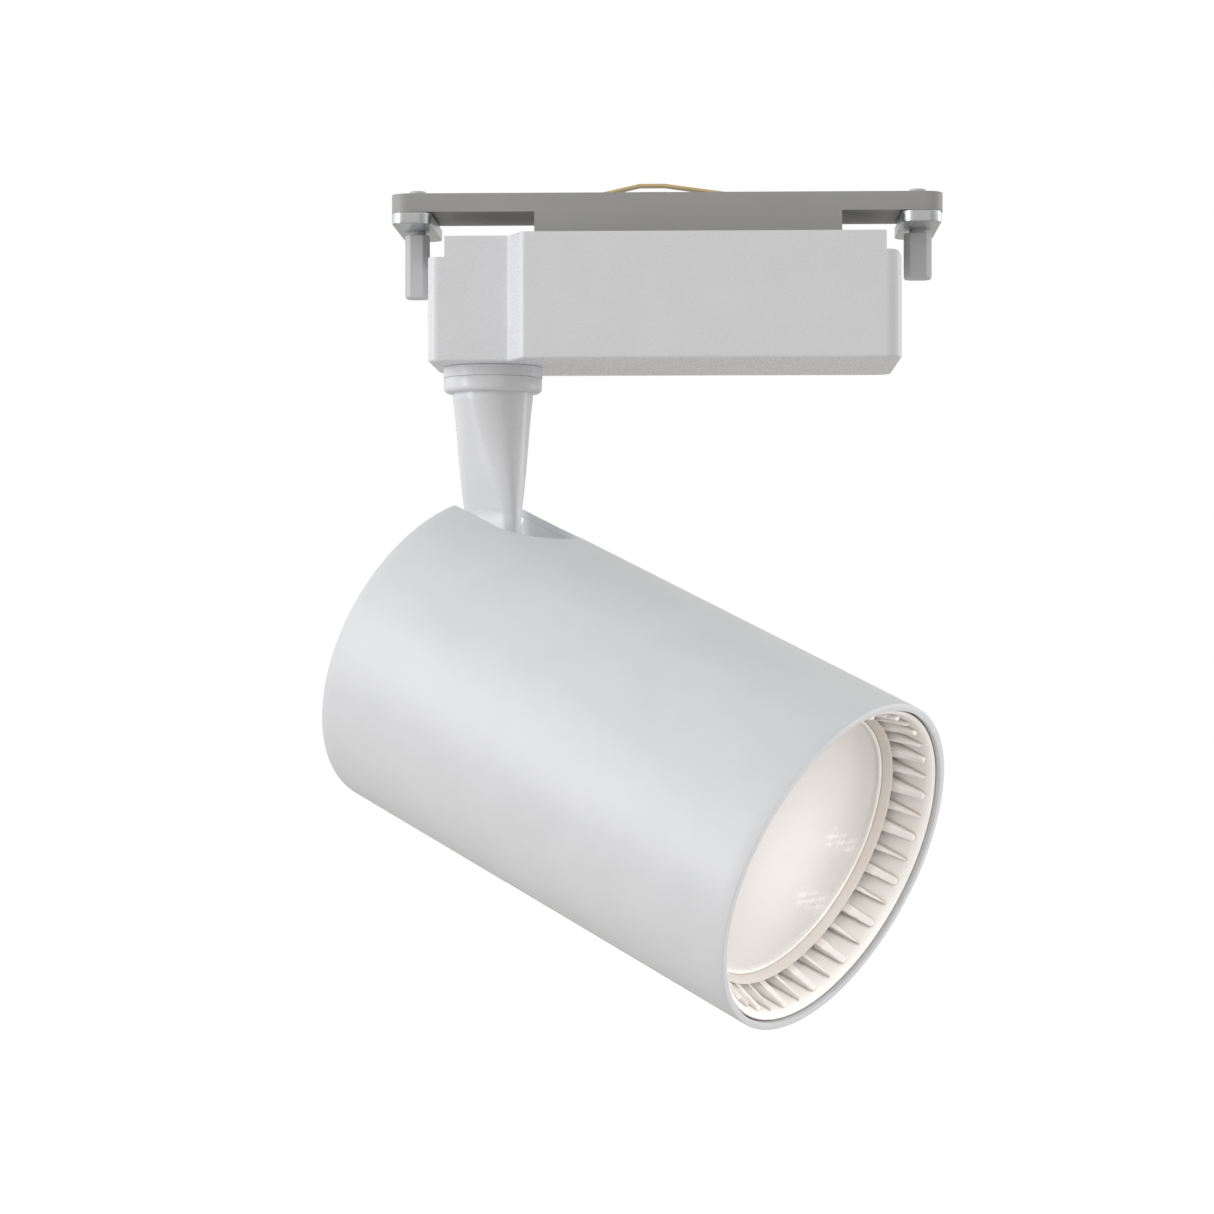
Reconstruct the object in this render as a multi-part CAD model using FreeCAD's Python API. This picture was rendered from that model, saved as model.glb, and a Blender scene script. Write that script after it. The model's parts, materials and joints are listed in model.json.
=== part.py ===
import FreeCAD, Part
import math
import os

# Track spotlight: an adapter that hangs under a supply rail, a swivelling stem and a tilting tubular head.
# Millimetres. The origin is on the swivel axis in the plane where the adapter meets the rail.
# +X runs along the rail, +Z points up into the rail, and -Y is the side the lamp head leans towards.

# Adapter housing
HOUSING_LEFT = -10.75
HOUSING_RIGHT = 72.6
HOUSING_HEIGHT = 22.2
BOX_HALF_WIDTH = 18.25
NECK_HALF_WIDTH = 12.7
STEP_START = 3.8
STEP_END = 6.2
WALL = 1.8
NECK_CORNER = 2.1
BOX_CORNER = 2.9
STEP_CORNER = 1.1
BOTTOM_EDGE = 0.5
NOTCH_LEFT_END = -7.7
NOTCH_LEFT_DEPTH = 3.7
NOTCH_RIGHT_START = 69.85
NOTCH_RIGHT_DEPTH = 3.3
LEDGE = 2.0

# Screw bosses that hold the cover plate
BOSS_X = (15.0, 63.0)
BOSS_Y = 13.4
BOSS_RADIUS = 2.6
SCREW_RADIUS = 1.1
SCREW_GAP = 0.02
SCREW_HEAD = 2.3
SCREW_LENGTH = 11.0

# Cover plate, and the contact tongue that stands in its window and reaches into the rail
PLATE_THICK = 3.4
PLATE_SKIN = 1.8
PLATE_GAP = 0.2
WINDOW_GAP = 0.02
TONGUE_FLANGE = 1.5
TONGUE_FLANGE_BOTTOM = -3.2
TONGUE_HALF_WIDTH = 9.5
TONGUE_LEFT = 8.0
TONGUE_RIGHT = 62.5
TONGUE_STEP = 4.7
TONGUE_TOP = 8.0
BEAM_LEFT = -17.6
BEAM_RIGHT = 80.4
BEAM_CORNER = 3.0

# Turn latches at both ends of the tongue
LATCH_LEFT_X = -13.65
LATCH_RIGHT_X = 76.4
KNOB_LEFT_LENGTH = 4.3
KNOB_RIGHT_LENGTH = 4.9
KNOB_DEPTH = 4.2
KNOB_CHAMFER = 1.0
KNOB_LEFT_DROP = 9.8
KNOB_RIGHT_DROP = 6.6
KNOB_TOP = 1.6
SPINDLE_RADIUS = 1.5
RUNNING_GAP = 0.05
CAM_BOTTOM = 2.2
CAM_TOP = 4.2
CAM_HALF_LENGTH = 13.0
CAM_HALF_WIDTH = 3.5
CLIP_THICK = 0.8

# Driver inside the adapter
BOARD_LEFT = 10.8
BOARD_RIGHT = 68.4
BOARD_HALF_WIDTH = 15.4
BOARD_BOTTOM = -17.4
BOARD_THICK = 1.6
BOARD_TOP = BOARD_BOTTOM + BOARD_THICK
LEAD_RADIUS = 0.65

# Swivel under the neck
RING_TOP_THICK = 2.0
RING_RADIUS = 8.95
COLLAR_RADIUS = 8.85
SWIVEL_SEAM = 0.15
COLLAR_BOTTOM = -26.9
COLLAR_ROUND = 0.9
SLEEVE_RADIUS = 5.6
SWIVEL_TUBE_RADIUS = 4.6
SWIVEL_TUBE_BORE = 3.2
SWIVEL_TUBE_TOP = -13.0
STOP_WIDTH = 1.8
STOP_WASHER_RADIUS = 7.4
STOP_REACH = 8.65

# Stem
PIVOT_Z = -78.5
STEM_TOP_RADIUS = 7.2
STEM_ROUND_END = -28.0
BLADE_START = -49.0
BLADE_HALF_WIDTH = 5.75
BLADE_HALF_THICK = 1.7
LEAD_OFFSET = 3.7
LEAD_CHANNEL = 0.9
PIVOT_RADIUS = 2.0
THREAD_RADIUS = 1.5

# Lamp head, in its own frame: x along the tube to the front, y along the tilt axis, origin on the pivot
HEADING = -33.2
TILT = 23.2
TUBE_RADIUS = 30.0
TUBE_BORE = 28.8
FRONT = 78.42
REAR = -13.29
RIM_ROUND = 0.3
SLOT_HALF_WIDTH = 9.8
SLOT_CENTRE = REAR + 10.0
INNER_RADIUS = 28.5
POCKET_WALL = 1.2
POCKET_FLOOR = -8.6
CAP_REAR = -12.0
CAP_THICK = 1.6
CAP_SCREW_CIRCLE = 22.0
CAP_SCREW_ANGLES = (-90.0, -20.0, 200.0)
EAR_INNER = 2.6
EAR_OUTER = 4.8
EAR_RADIUS = 4.6
SINK_REAR = 8.6
SINK_BASE = 26.0
SINK_FRONT = 29.0
SINK_RADIUS = 28.3
SINK_CORE = 9.0
FIN_COUNT = 28
FIN_THICK = 1.3
TUBE_SCREW_X = 21.0
TUBE_SCREW_ANGLE = 270.0
LEAD_DROP = -3.0
PAD_THICK = 0.5
LED_BOARD_THICK = 1.6
LED_BOARD_RADIUS = 21.0
EMITTER_HALF = 8.0
PHOSPHOR_RADIUS = 5.5
HOLDER_FRONT = 34.5

# Front optics, measured back from the front rim
BAFFLE_EDGE = 0.8
BAFFLE_FLOOR = 1.6
BAFFLE_RADIUS = 28.6
GROOVE_RADIUS = 27.3
BAFFLE_DEPTH = 13.0
BAND_RADIUS = 25.2
BAND_FRONT = 7.4
BAND_INNER = 24.0
BAND_BACK = 8.9
SLEEVE_BORE = 24.85
RIB_COUNT = 40
RIB_PITCH = 360.0 / RIB_COUNT
RIB_START = 60.75
WIDE_RIB_FRONT = 1.15
WIDE_RIB_BACK = 1.6
NARROW_RIB_FRONT = 0.25
NARROW_RIB_BACK = 0.85
LENS_DEPTH = 9.9
LENS_THICK = 2.0
LENS_RADIUS = 24.1
PILLAR_CIRCLE = 26.7
PILLAR_RADIUS = 1.7
PILLAR_ANGLES = (30.0, 150.0, 270.0)


def vec(x, y, z):
    return FreeCAD.Vector(x, y, z)


X_AXIS = vec(1, 0, 0)
Y_AXIS = vec(0, 1, 0)
Z_AXIS = vec(0, 0, 1)
ORIGIN = vec(0, 0, 0)


def block(x0, x1, y0, y1, z0, z1):
    return Part.makeBox(x1 - x0, y1 - y0, z1 - z0, vec(x0, y0, z0))


def rod(radius, start, end):
    return Part.makeCylinder(radius, start.distanceToPoint(end), start, end.sub(start))


def ring(outer, inner, start, end):
    return rod(outer, start, end).cut(rod(inner, start, end))


def turned(points, axis):
    """A solid of revolution about the head's x axis or the world z axis, from (radius, position) points."""
    if axis == "x":
        profile = [vec(position, radius, 0) for radius, position in points]
        return Part.Face(Part.makePolygon(profile + profile[:1])).revolve(ORIGIN, X_AXIS, 360)
    profile = [vec(radius, 0, position) for radius, position in points]
    return Part.Face(Part.makePolygon(profile + profile[:1])).revolve(ORIGIN, Z_AXIS, 360)


def outline(corners, z):
    """A closed flat wire through (x, y, corner radius) points, with each corner rounded to its radius."""
    edges = []
    ends = []
    count = len(corners)
    for i, (x, y, radius) in enumerate(corners):
        here = vec(x, y, z)
        back = vec(corners[i - 1][0], corners[i - 1][1], z).sub(here).normalize()
        ahead = vec(corners[(i + 1) % count][0], corners[(i + 1) % count][1], z).sub(here).normalize()
        half = back.getAngle(ahead) / 2
        reach = radius / math.tan(half)
        start = here.add(back * reach)
        end = here.add(ahead * reach)
        middle = here.add((back + ahead).normalize() * (radius / math.sin(half) - radius))
        ends.append((start, end))
        edges.append(Part.Arc(start, middle, end).toShape())
    for i in range(count):
        edges.append(Part.LineSegment(ends[i - 1][1], ends[i][0]).toShape())
    return Part.Wire(Part.__sortEdges__(edges))


def slab(wire, z0, z1):
    face = Part.Face(wire)
    face.translate(vec(0, 0, z0 - wire.BoundBox.ZMin))
    return face.extrude(vec(0, 0, z1 - z0))


def hexagon(across_flats, start, end):
    """A hexagonal prism from start to end."""
    direction = end.sub(start)
    corner = across_flats / math.sqrt(3)
    points = []
    for i in range(7):
        angle = math.radians(60 * i)
        points.append(vec(corner * math.cos(angle), corner * math.sin(angle), 0))
    prism = Part.Face(Part.makePolygon(points)).extrude(vec(0, 0, direction.Length))
    prism.Placement = FreeCAD.Placement(start, FreeCAD.Rotation(Z_AXIS, direction))
    return prism


def lead(points, bend):
    """A round wire along straight runs joined by arcs of one bend radius."""
    edges = []
    last = points[0]
    for i in range(1, len(points) - 1):
        back = points[i - 1].sub(points[i]).normalize()
        ahead = points[i + 1].sub(points[i]).normalize()
        half = back.getAngle(ahead) / 2
        reach = bend / math.tan(half)
        start = points[i].add(back * reach)
        end = points[i].add(ahead * reach)
        middle = points[i].add((back + ahead).normalize() * (bend / math.sin(half) - bend))
        edges.append(Part.LineSegment(last, start).toShape())
        edges.append(Part.Arc(start, middle, end).toShape())
        last = end
    edges.append(Part.LineSegment(last, points[-1]).toShape())
    path = Part.Wire(edges)
    section = Part.Wire(Part.makeCircle(LEAD_RADIUS, points[0], points[1].sub(points[0])))
    return path.makePipeShell([section], True, True)


def screw(head_radius, head_height, radius, top, end, countersunk):
    """A screw whose head's flat top is at top and whose tip is at end, with a hexagon socket."""
    axis = end.sub(top).normalize()
    under = top.add(axis * head_height)
    if countersunk:
        head = Part.makeCone(head_radius, radius, head_height, top, axis)
    else:
        head = rod(head_radius, top, under)
    body = head.fuse(rod(radius, under, end)).removeSplitter()
    socket = hexagon(head_radius * 0.8, top, top.add(axis * head_height * 0.6))
    return body.cut(socket)


def in_head(shape):
    """Moves a shape from the head's own frame to its place at rest."""
    spin = FreeCAD.Rotation(Z_AXIS, HEADING)
    lean = FreeCAD.Rotation(Y_AXIS, TILT)
    place = FreeCAD.Placement(vec(0, 0, PIVOT_Z), spin.multiply(lean))
    shape.Placement = place.multiply(shape.Placement)
    return shape


def in_stem(shape):
    """Turns a shape made for a lamp facing +X to the stem's heading at rest."""
    shape.Placement = FreeCAD.Placement(ORIGIN, FreeCAD.Rotation(Z_AXIS, HEADING)).multiply(shape.Placement)
    return shape


def save(name, shapes):
    pieces = shapes if isinstance(shapes, list) else [shapes]
    solids = []
    for piece in pieces:
        solids.extend(piece.Solids)
    for solid in solids:
        if not solid.isValid():
            print("NOT VALID:", name)
    result = solids[0] if len(solids) == 1 else Part.makeCompound(solids)
    result.exportStep("parts/" + name + ".step")
    print(name, len(solids), round(sum(s.Volume for s in solids), 1))


# Adapter

def housing_outline(inset):
    """The housing's plan, a wide box with a narrower neck at its left end, moved inwards by inset."""
    run = STEP_END - STEP_START
    rise = BOX_HALF_WIDTH - NECK_HALF_WIDTH
    slope = math.hypot(run, rise)
    shift = inset * (slope - run) / rise
    left = HOUSING_LEFT + inset
    right = HOUSING_RIGHT - inset
    neck = NECK_HALF_WIDTH - inset
    wide = BOX_HALF_WIDTH - inset
    neck_corner = max(NECK_CORNER - inset, 0.5)
    box_corner = max(BOX_CORNER - inset, 0.5)
    step_in = STEP_CORNER
    step_out = max(STEP_CORNER - inset, 0.4)
    corners = [(left, -neck, neck_corner)]
    corners.append((STEP_START + shift, -neck, step_in))
    corners.append((STEP_END + shift, -wide, step_out))
    corners.append((right, -wide, box_corner))
    corners.append((right, wide, box_corner))
    corners.append((STEP_END + shift, wide, step_out))
    corners.append((STEP_START + shift, neck, step_in))
    corners.append((left, neck, neck_corner))
    return outline(corners, 0)


def boss_places():
    return [(x, y) for x in BOSS_X for y in (-BOSS_Y, BOSS_Y)]


def adapter_housing():
    floor = -HOUSING_HEIGHT
    shell = slab(housing_outline(0), floor, 0)
    bottom = [e for e in shell.Edges if e.BoundBox.ZMax < floor + 0.01]
    shell = shell.makeFillet(BOTTOM_EDGE, bottom)
    ledge_left = -NOTCH_LEFT_DEPTH - LEDGE
    low = slab(housing_outline(WALL), floor + WALL, ledge_left)
    high = slab(housing_outline(WALL), ledge_left - 0.01, 1)
    high = high.common(block(NOTCH_LEFT_END, NOTCH_RIGHT_START, -30, 30, ledge_left - 1, 2))
    shell = shell.cut(low).cut(high)
    shell = shell.cut(block(HOUSING_LEFT - 1, NOTCH_LEFT_END, -30, 30, -NOTCH_LEFT_DEPTH, 1))
    shell = shell.cut(block(NOTCH_RIGHT_START, HOUSING_RIGHT + 1, -30, 30, -NOTCH_RIGHT_DEPTH, 1))
    drop = 1.4
    edge = block(HOUSING_RIGHT - drop, HOUSING_RIGHT + 1, -30, 30, -NOTCH_RIGHT_DEPTH - drop, 1)
    start = vec(HOUSING_RIGHT - drop, -30, -NOTCH_RIGHT_DEPTH - drop)
    shell = shell.cut(edge.cut(rod(drop, start, start.add(vec(0, 60, 0)))))
    for x, y in boss_places():
        shell = shell.fuse(rod(BOSS_RADIUS, vec(x, y, floor + WALL - 0.1), vec(x, y, -PLATE_THICK)))
        shell = shell.cut(rod(SCREW_RADIUS, vec(x, y, -SCREW_LENGTH - 1), vec(x, y, 0)))
    for y in (-8.0, 8.0):
        shell = shell.fuse(block(18, 60, y - 0.6, y + 0.6, floor + WALL - 0.1, BOARD_BOTTOM))
    shell = shell.fuse(block(7.9, 10.2, -STOP_WIDTH / 2, STOP_WIDTH / 2, floor + WALL - 0.1, -17.6))
    shell = shell.cut(rod(SLEEVE_RADIUS, vec(0, 0, floor - 1), vec(0, 0, floor + WALL + 1)))
    return shell.removeSplitter()


def cover_plan(inset):
    limits = block(NOTCH_LEFT_END + inset, NOTCH_RIGHT_START - inset, -30, 30, -10, 10)
    return slab(housing_outline(WALL + inset), -5, 5).common(limits)


def cover_plate():
    plate = cover_plan(PLATE_GAP).common(block(-30, 90, -30, 30, -PLATE_THICK, 0))
    recess = cover_plan(PLATE_GAP + 1.6).common(block(-30, 90, -30, 30, -PLATE_THICK, -PLATE_SKIN))
    plate = plate.cut(recess)
    half = TONGUE_HALF_WIDTH + WINDOW_GAP
    plate = plate.cut(block(TONGUE_LEFT - WINDOW_GAP, TONGUE_RIGHT + WINDOW_GAP, -half, half, -5, 5))
    for x, y in boss_places():
        plate = plate.fuse(rod(BOSS_RADIUS, vec(x, y, -PLATE_THICK), vec(x, y, -0.5)))
        plate = plate.cut(rod(SCREW_RADIUS + 0.2, vec(x, y, -5), vec(x, y, 1)))
        plate = plate.cut(Part.makeCone(SCREW_RADIUS, SCREW_HEAD + 0.1, 1.5, vec(x, y, -1.5)))
        plate = plate.cut(rod(SCREW_HEAD + 0.1, vec(x, y, -0.05), vec(x, y, 0.5)))
    return plate.removeSplitter()


def contact_tongue():
    """The hollow tongue stands in the plate's window on two end flanges and carries both latches."""
    half = TONGUE_HALF_WIDTH
    under = -PLATE_SKIN - WINDOW_GAP
    body = block(TONGUE_LEFT, TONGUE_RIGHT, -half, half, under, TONGUE_STEP + 0.1)
    left = TONGUE_LEFT - TONGUE_FLANGE
    right = TONGUE_RIGHT + TONGUE_FLANGE
    body = body.fuse(block(left, right, -half, half, TONGUE_FLANGE_BOTTOM, under))
    corners = [(BEAM_LEFT, -half, BEAM_CORNER), (BEAM_RIGHT, -half, BEAM_CORNER)]
    corners += [(BEAM_RIGHT, half, BEAM_CORNER), (BEAM_LEFT, half, BEAM_CORNER)]
    body = body.fuse(slab(outline(corners, 0), TONGUE_STEP, TONGUE_TOP))
    body = body.cut(block(TONGUE_LEFT + 2, TONGUE_RIGHT - 2, 2 - half, half - 2, -5, TONGUE_TOP - 2))
    for x in (24.0, 35.0, 46.0):
        body = body.fuse(block(x, x + 1.4, 1.9 - half, half - 1.9, -PLATE_SKIN, TONGUE_TOP - 1.9))
    for x in (LATCH_LEFT_X, LATCH_RIGHT_X):
        body = body.cut(rod(SPINDLE_RADIUS + RUNNING_GAP, vec(x, 0, 0), vec(x, 0, 20)))
    for y in (-5.0, 5.0):
        body = body.cut(block(13.9, 14.5, y - 1.6, y + 1.6, 0, 20))
    return body.removeSplitter()


def cover_screws():
    screws = []
    for x, y in boss_places():
        top = vec(x, y, -0.1)
        end = vec(x, y, -SCREW_LENGTH)
        screws.append(screw(SCREW_HEAD, 1.3, SCREW_RADIUS - SCREW_GAP, top, end, True))
    return screws


def leaf(x0, y, length):
    """A contact leaf on top of the tongue: a tail in its slot, a foot, and a raised springy bow."""
    thick = 0.4
    base = TONGUE_TOP + 0.02
    rise = 1.5
    bow_start = x0 + 6
    points = [vec(x0, 0, base - 5), vec(x0, 0, base + thick)]
    rise_end = bow_start + length * 0.3
    fall_start = bow_start + length * 0.5
    bow_end = bow_start + length
    points += [vec(bow_start, 0, base + thick), vec(rise_end, 0, base + rise + thick)]
    points += [vec(fall_start, 0, base + rise + thick), vec(bow_end, 0, base + thick)]
    points += [vec(bow_end, 0, base), vec(fall_start, 0, base + rise)]
    points += [vec(rise_end, 0, base + rise), vec(bow_start, 0, base)]
    points += [vec(x0 + thick, 0, base), vec(x0 + thick, 0, base - 5)]
    face = Part.Face(Part.makePolygon(points + points[:1]))
    face.translate(vec(0, y - 1.5, 0))
    return face.extrude(vec(0, 3, 0))


def earth_contact():
    """The earth strip lies along the tongue's side, with a bow that touches the rail's edge."""
    side = TONGUE_HALF_WIDTH + 0.02
    thick = 0.3
    points = [vec(44, side, 0), vec(58, side, 0), vec(58, side + thick, 0), vec(54, side + thick, 0)]
    points += [vec(51, side + 0.45, 0), vec(48, side + thick, 0), vec(44, side + thick, 0)]
    strip = Part.Face(Part.makePolygon(points + points[:1])).extrude(vec(0, 0, 2.5))
    return strip.translated(vec(0, 0, 2.1))


def driver_board():
    half = BOARD_HALF_WIDTH
    board = block(BOARD_LEFT, BOARD_RIGHT, -half, half, BOARD_BOTTOM, BOARD_TOP)
    for x, y in boss_places():
        board = board.cut(rod(BOSS_RADIUS + 0.3, vec(x, y, -20), vec(x, y, -10)))
    return board


TRANSFORMER_X = 30.0
TRANSFORMER_HALF = 8.0
CORE_TOP = -5.3
WINDOW_LOW = -13.3
WINDOW_HIGH = -7.3


def transformer_core():
    x = TRANSFORMER_X
    core = block(x - TRANSFORMER_HALF, x + TRANSFORMER_HALF, -6, 6, BOARD_TOP + 0.02, CORE_TOP)
    for side in (-1, 1):
        near = x + side * 2
        far = x + side * 5.5
        core = core.cut(block(min(near, far), max(near, far), -7, 7, WINDOW_LOW, WINDOW_HIGH))
    return core


def transformer_winding():
    x = TRANSFORMER_X
    corners = [(x - 5.3, -8, 2), (x + 5.3, -8, 2), (x + 5.3, 8, 2), (x - 5.3, 8, 2)]
    winding = slab(outline(corners, 0), WINDOW_LOW + 0.2, WINDOW_HIGH - 0.2)
    return winding.cut(block(x - 2.1, x + 2.1, -6.1, 6.1, -20, 0))


def bulk_capacitor():
    return rod(4.9, vec(43, -7.5, BOARD_TOP + 5), vec(59, -7.5, BOARD_TOP + 5))


def output_capacitor():
    return rod(4.0, vec(51, 6, BOARD_TOP + 0.02), vec(51, 6, BOARD_TOP + 10.5))


def choke():
    coil = Part.makeTorus(3.4, 1.5, vec(60.0, 3.5, BOARD_TOP + 1.55), Z_AXIS)
    return coil


def driver_chips():
    base = BOARD_TOP + 0.02
    return [
        block(40.5, 45.0, 8.5, 13.0, base, base + 1.6),
        block(20.0, 24.5, 9.5, 12.5, base, base + 2.2),
        block(20.0, 23.0, -13.0, -9.5, base, base + 1.4),
        block(63.0, 66.5, -5.0, -1.5, base, base + 3.0),
    ]


def terminal_block():
    base = BOARD_TOP + 0.02
    body = block(11.5, 17.5, -6, 6, base, base + 7)
    for y in (-3.0, 3.0):
        body = body.cut(rod(1.1, vec(10, y, base + 2.6), vec(15, y, base + 2.6)))
        body = body.cut(rod(1.3, vec(14.5, y, base + 4.5), vec(14.5, y, base + 8)))
    return body


def driver_leads():
    height = BOARD_TOP + 2.62
    leads = []
    for side in (-1, 1):
        points = [vec(14.5, 3.0 * side, height), vec(9.5, 3.0 * side, height)]
        points += [vec(6.0, 1.6 * side, -10.6), vec(1.6, 1.4 * side, -9.6), vec(0, 1.4 * side, -12.4)]
        leads.append(lead(points, 0.8))
    return leads


def insulation_sheet():
    sheet = block(11, 68, -15, 15, -4.6, -4.1)
    for x, y in boss_places():
        sheet = sheet.cut(rod(BOSS_RADIUS + 0.4, vec(x, y, -6), vec(x, y, -3)))
    return sheet


def swivel_bush():
    floor = -HOUSING_HEIGHT
    bore = SWIVEL_TUBE_RADIUS + RUNNING_GAP
    flange = ring(RING_RADIUS, bore, vec(0, 0, floor - RING_TOP_THICK), vec(0, 0, floor - 0.02))
    sleeve = ring(SLEEVE_RADIUS - 0.03, bore, vec(0, 0, floor - 0.5), vec(0, 0, floor + WALL + 1))
    return flange.fuse(sleeve).removeSplitter()


# Turn latches

def latch_knob(x, length, drop):
    half_x = length / 2
    half_y = KNOB_DEPTH / 2
    cut = KNOB_CHAMFER
    points = [vec(half_x, cut - half_y, 0), vec(half_x, half_y - cut, 0)]
    points += [vec(half_x - cut, half_y, 0), vec(cut - half_x, half_y, 0)]
    points += [vec(-half_x, half_y - cut, 0), vec(-half_x, cut - half_y, 0)]
    points += [vec(cut - half_x, -half_y, 0), vec(half_x - cut, -half_y, 0)]
    knob = Part.Face(Part.makePolygon(points + points[:1])).extrude(vec(0, 0, drop + KNOB_TOP))
    low = [e for e in knob.Edges if e.BoundBox.ZMax < 0.01]
    knob = knob.makeFillet(0.45, low)
    knob.translate(vec(x, 0, -drop))
    spindle = rod(SPINDLE_RADIUS, vec(x, 0, KNOB_TOP - 0.2), vec(x, 0, TONGUE_TOP + 1.6))
    groove = ring(SPINDLE_RADIUS + 1, 1.1, vec(x, 0, TONGUE_TOP + 0.2), vec(x, 0, TONGUE_TOP + 1.04))
    return knob.fuse(spindle).cut(groove).removeSplitter()


def latch_cam(x):
    half = CAM_HALF_WIDTH
    reach = CAM_HALF_LENGTH
    corners = [(x - half, -reach, half * 0.7), (x + half, -reach, half * 0.7)]
    corners += [(x + half, reach, half * 0.7), (x - half, reach, half * 0.7)]
    cam = slab(outline(corners, 0), CAM_BOTTOM, CAM_TOP)
    return cam.cut(rod(SPINDLE_RADIUS + 0.01, vec(x, 0, 0), vec(x, 0, 10)))


def latch_clip(x):
    start = vec(x, 0, TONGUE_TOP + 0.22)
    clip = ring(2.7, 1.12, start, start.add(vec(0, 0, CLIP_THICK)))
    return clip.cut(block(x, x + 5, -0.7, 0.7, TONGUE_TOP, TONGUE_TOP + 3))


# Stem

def stem_section(z):
    """A smooth closed section that goes from a circle at the top to a flat blade at BLADE_START."""
    along = (STEM_ROUND_END - z) / (STEM_ROUND_END - BLADE_START)
    along = min(max(along, 0.0), 1.0)
    half_width = STEM_TOP_RADIUS + (BLADE_HALF_WIDTH - STEM_TOP_RADIUS) * along
    half_thick = STEM_TOP_RADIUS + (BLADE_HALF_THICK - STEM_TOP_RADIUS) * along
    power = 2.0 / (2.0 + 2.5 * along * along)
    points = []
    for i in range(48):
        angle = 2 * math.pi * (i + 0.5) / 48
        c = math.cos(angle)
        s = math.sin(angle)
        x = half_width * math.copysign(abs(c) ** power, c)
        y = half_thick * math.copysign(abs(s) ** power, s)
        points.append(vec(x, y, z))
    curve = Part.BSplineCurve()
    curve.interpolate(points, PeriodicFlag=True)
    return Part.Wire(curve.toShape())


def stem():
    steps = 6
    drop = (BLADE_START - STEM_ROUND_END) / steps
    sections = [stem_section(STEM_ROUND_END + drop * i) for i in range(steps + 1)]
    taper = Part.makeLoft(sections, True)
    top = Part.Face(sections[0]).extrude(vec(0, 0, COLLAR_BOTTOM - STEM_ROUND_END))
    blade = Part.Face(sections[-1]).extrude(vec(0, 0, PIVOT_Z - 8 - BLADE_START))
    tip = rod(BLADE_HALF_WIDTH + 0.02, vec(0, -3, PIVOT_Z), vec(0, 3, PIVOT_Z))
    blade = blade.common(tip.fuse(block(-8, 8, -3, 3, PIVOT_Z, BLADE_START + 1)).removeSplitter())
    body = taper.fuse([blade, top])
    body = body.cut(rod(SWIVEL_TUBE_RADIUS + 0.01, vec(0, 0, -30), vec(0, 0, -20)))
    body = body.cut(block(-4.6, 4.6, -1.3, 1.3, -40, -29))
    for side in (-1, 1):
        x = side * LEAD_OFFSET
        body = body.cut(rod(LEAD_CHANNEL, vec(x, 0, PIVOT_Z - 8), vec(x, 0, -39)))
    body = body.cut(rod(PIVOT_RADIUS + RUNNING_GAP, vec(0, -4, PIVOT_Z), vec(0, 4, PIVOT_Z)))
    return in_stem(body)


def swivel_collar():
    top = -HOUSING_HEIGHT - RING_TOP_THICK - SWIVEL_SEAM
    collar = ring(COLLAR_RADIUS, SWIVEL_TUBE_RADIUS + 0.01, vec(0, 0, COLLAR_BOTTOM), vec(0, 0, top))
    low = []
    for edge in collar.Edges:
        flat = edge.BoundBox.ZMax < COLLAR_BOTTOM + 0.01
        if flat and edge.BoundBox.XMax > SWIVEL_TUBE_RADIUS + 1:
            low.append(edge)
    return collar.makeFillet(COLLAR_ROUND, low)


def swivel_tube():
    body = ring(SWIVEL_TUBE_RADIUS, SWIVEL_TUBE_BORE, vec(0, 0, -29.8), vec(0, 0, SWIVEL_TUBE_TOP))
    return body


def swivel_washer():
    """Turns with the stem; its tab meets the housing's stop post at each end of the turn."""
    start = vec(0, 0, -HOUSING_HEIGHT + WALL + 1.2)
    end = start.add(vec(0, 0, 1.2))
    washer = ring(STOP_WASHER_RADIUS, SWIVEL_TUBE_RADIUS + 0.01, start, end)
    tab = block(-STOP_REACH, 1 - STOP_WASHER_RADIUS, -STOP_WIDTH / 2, STOP_WIDTH / 2, start.z, end.z)
    return washer.fuse(tab).removeSplitter()


def swivel_nut():
    start = vec(0, 0, -HOUSING_HEIGHT + WALL + 2.45)
    end = start.add(vec(0, 0, 3.2))
    return hexagon(12.0, start, end).cut(rod(SWIVEL_TUBE_RADIUS + 0.01, start, end))


def stem_leads():
    leads = []
    for side in (-1, 1):
        points = [vec(1.3 * side, 0, -13.6), vec(1.3 * side, 0, -31)]
        points += [vec(LEAD_OFFSET * side, 0, -38), vec(LEAD_OFFSET * side, 0, PIVOT_Z - 3)]
        leads.append(in_stem(lead(points, 3.0)))
    return leads


# Lamp head

def around(angle, radius, x):
    """A point of the head at this distance from the tube's axis; angle 0 is +y and 90 is the top."""
    turn = math.radians(angle)
    return vec(x, radius * math.cos(turn), radius * math.sin(turn))


def slot_plan(half_width, x_rear, z_low, z_high):
    """A U-shaped prism, open to the rear and round at its front end."""
    straight = block(x_rear, SLOT_CENTRE, -half_width, half_width, z_low, z_high)
    nose = rod(half_width, vec(SLOT_CENTRE, 0, z_low), vec(SLOT_CENTRE, 0, z_high))
    return straight.fuse(nose).removeSplitter()


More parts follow.
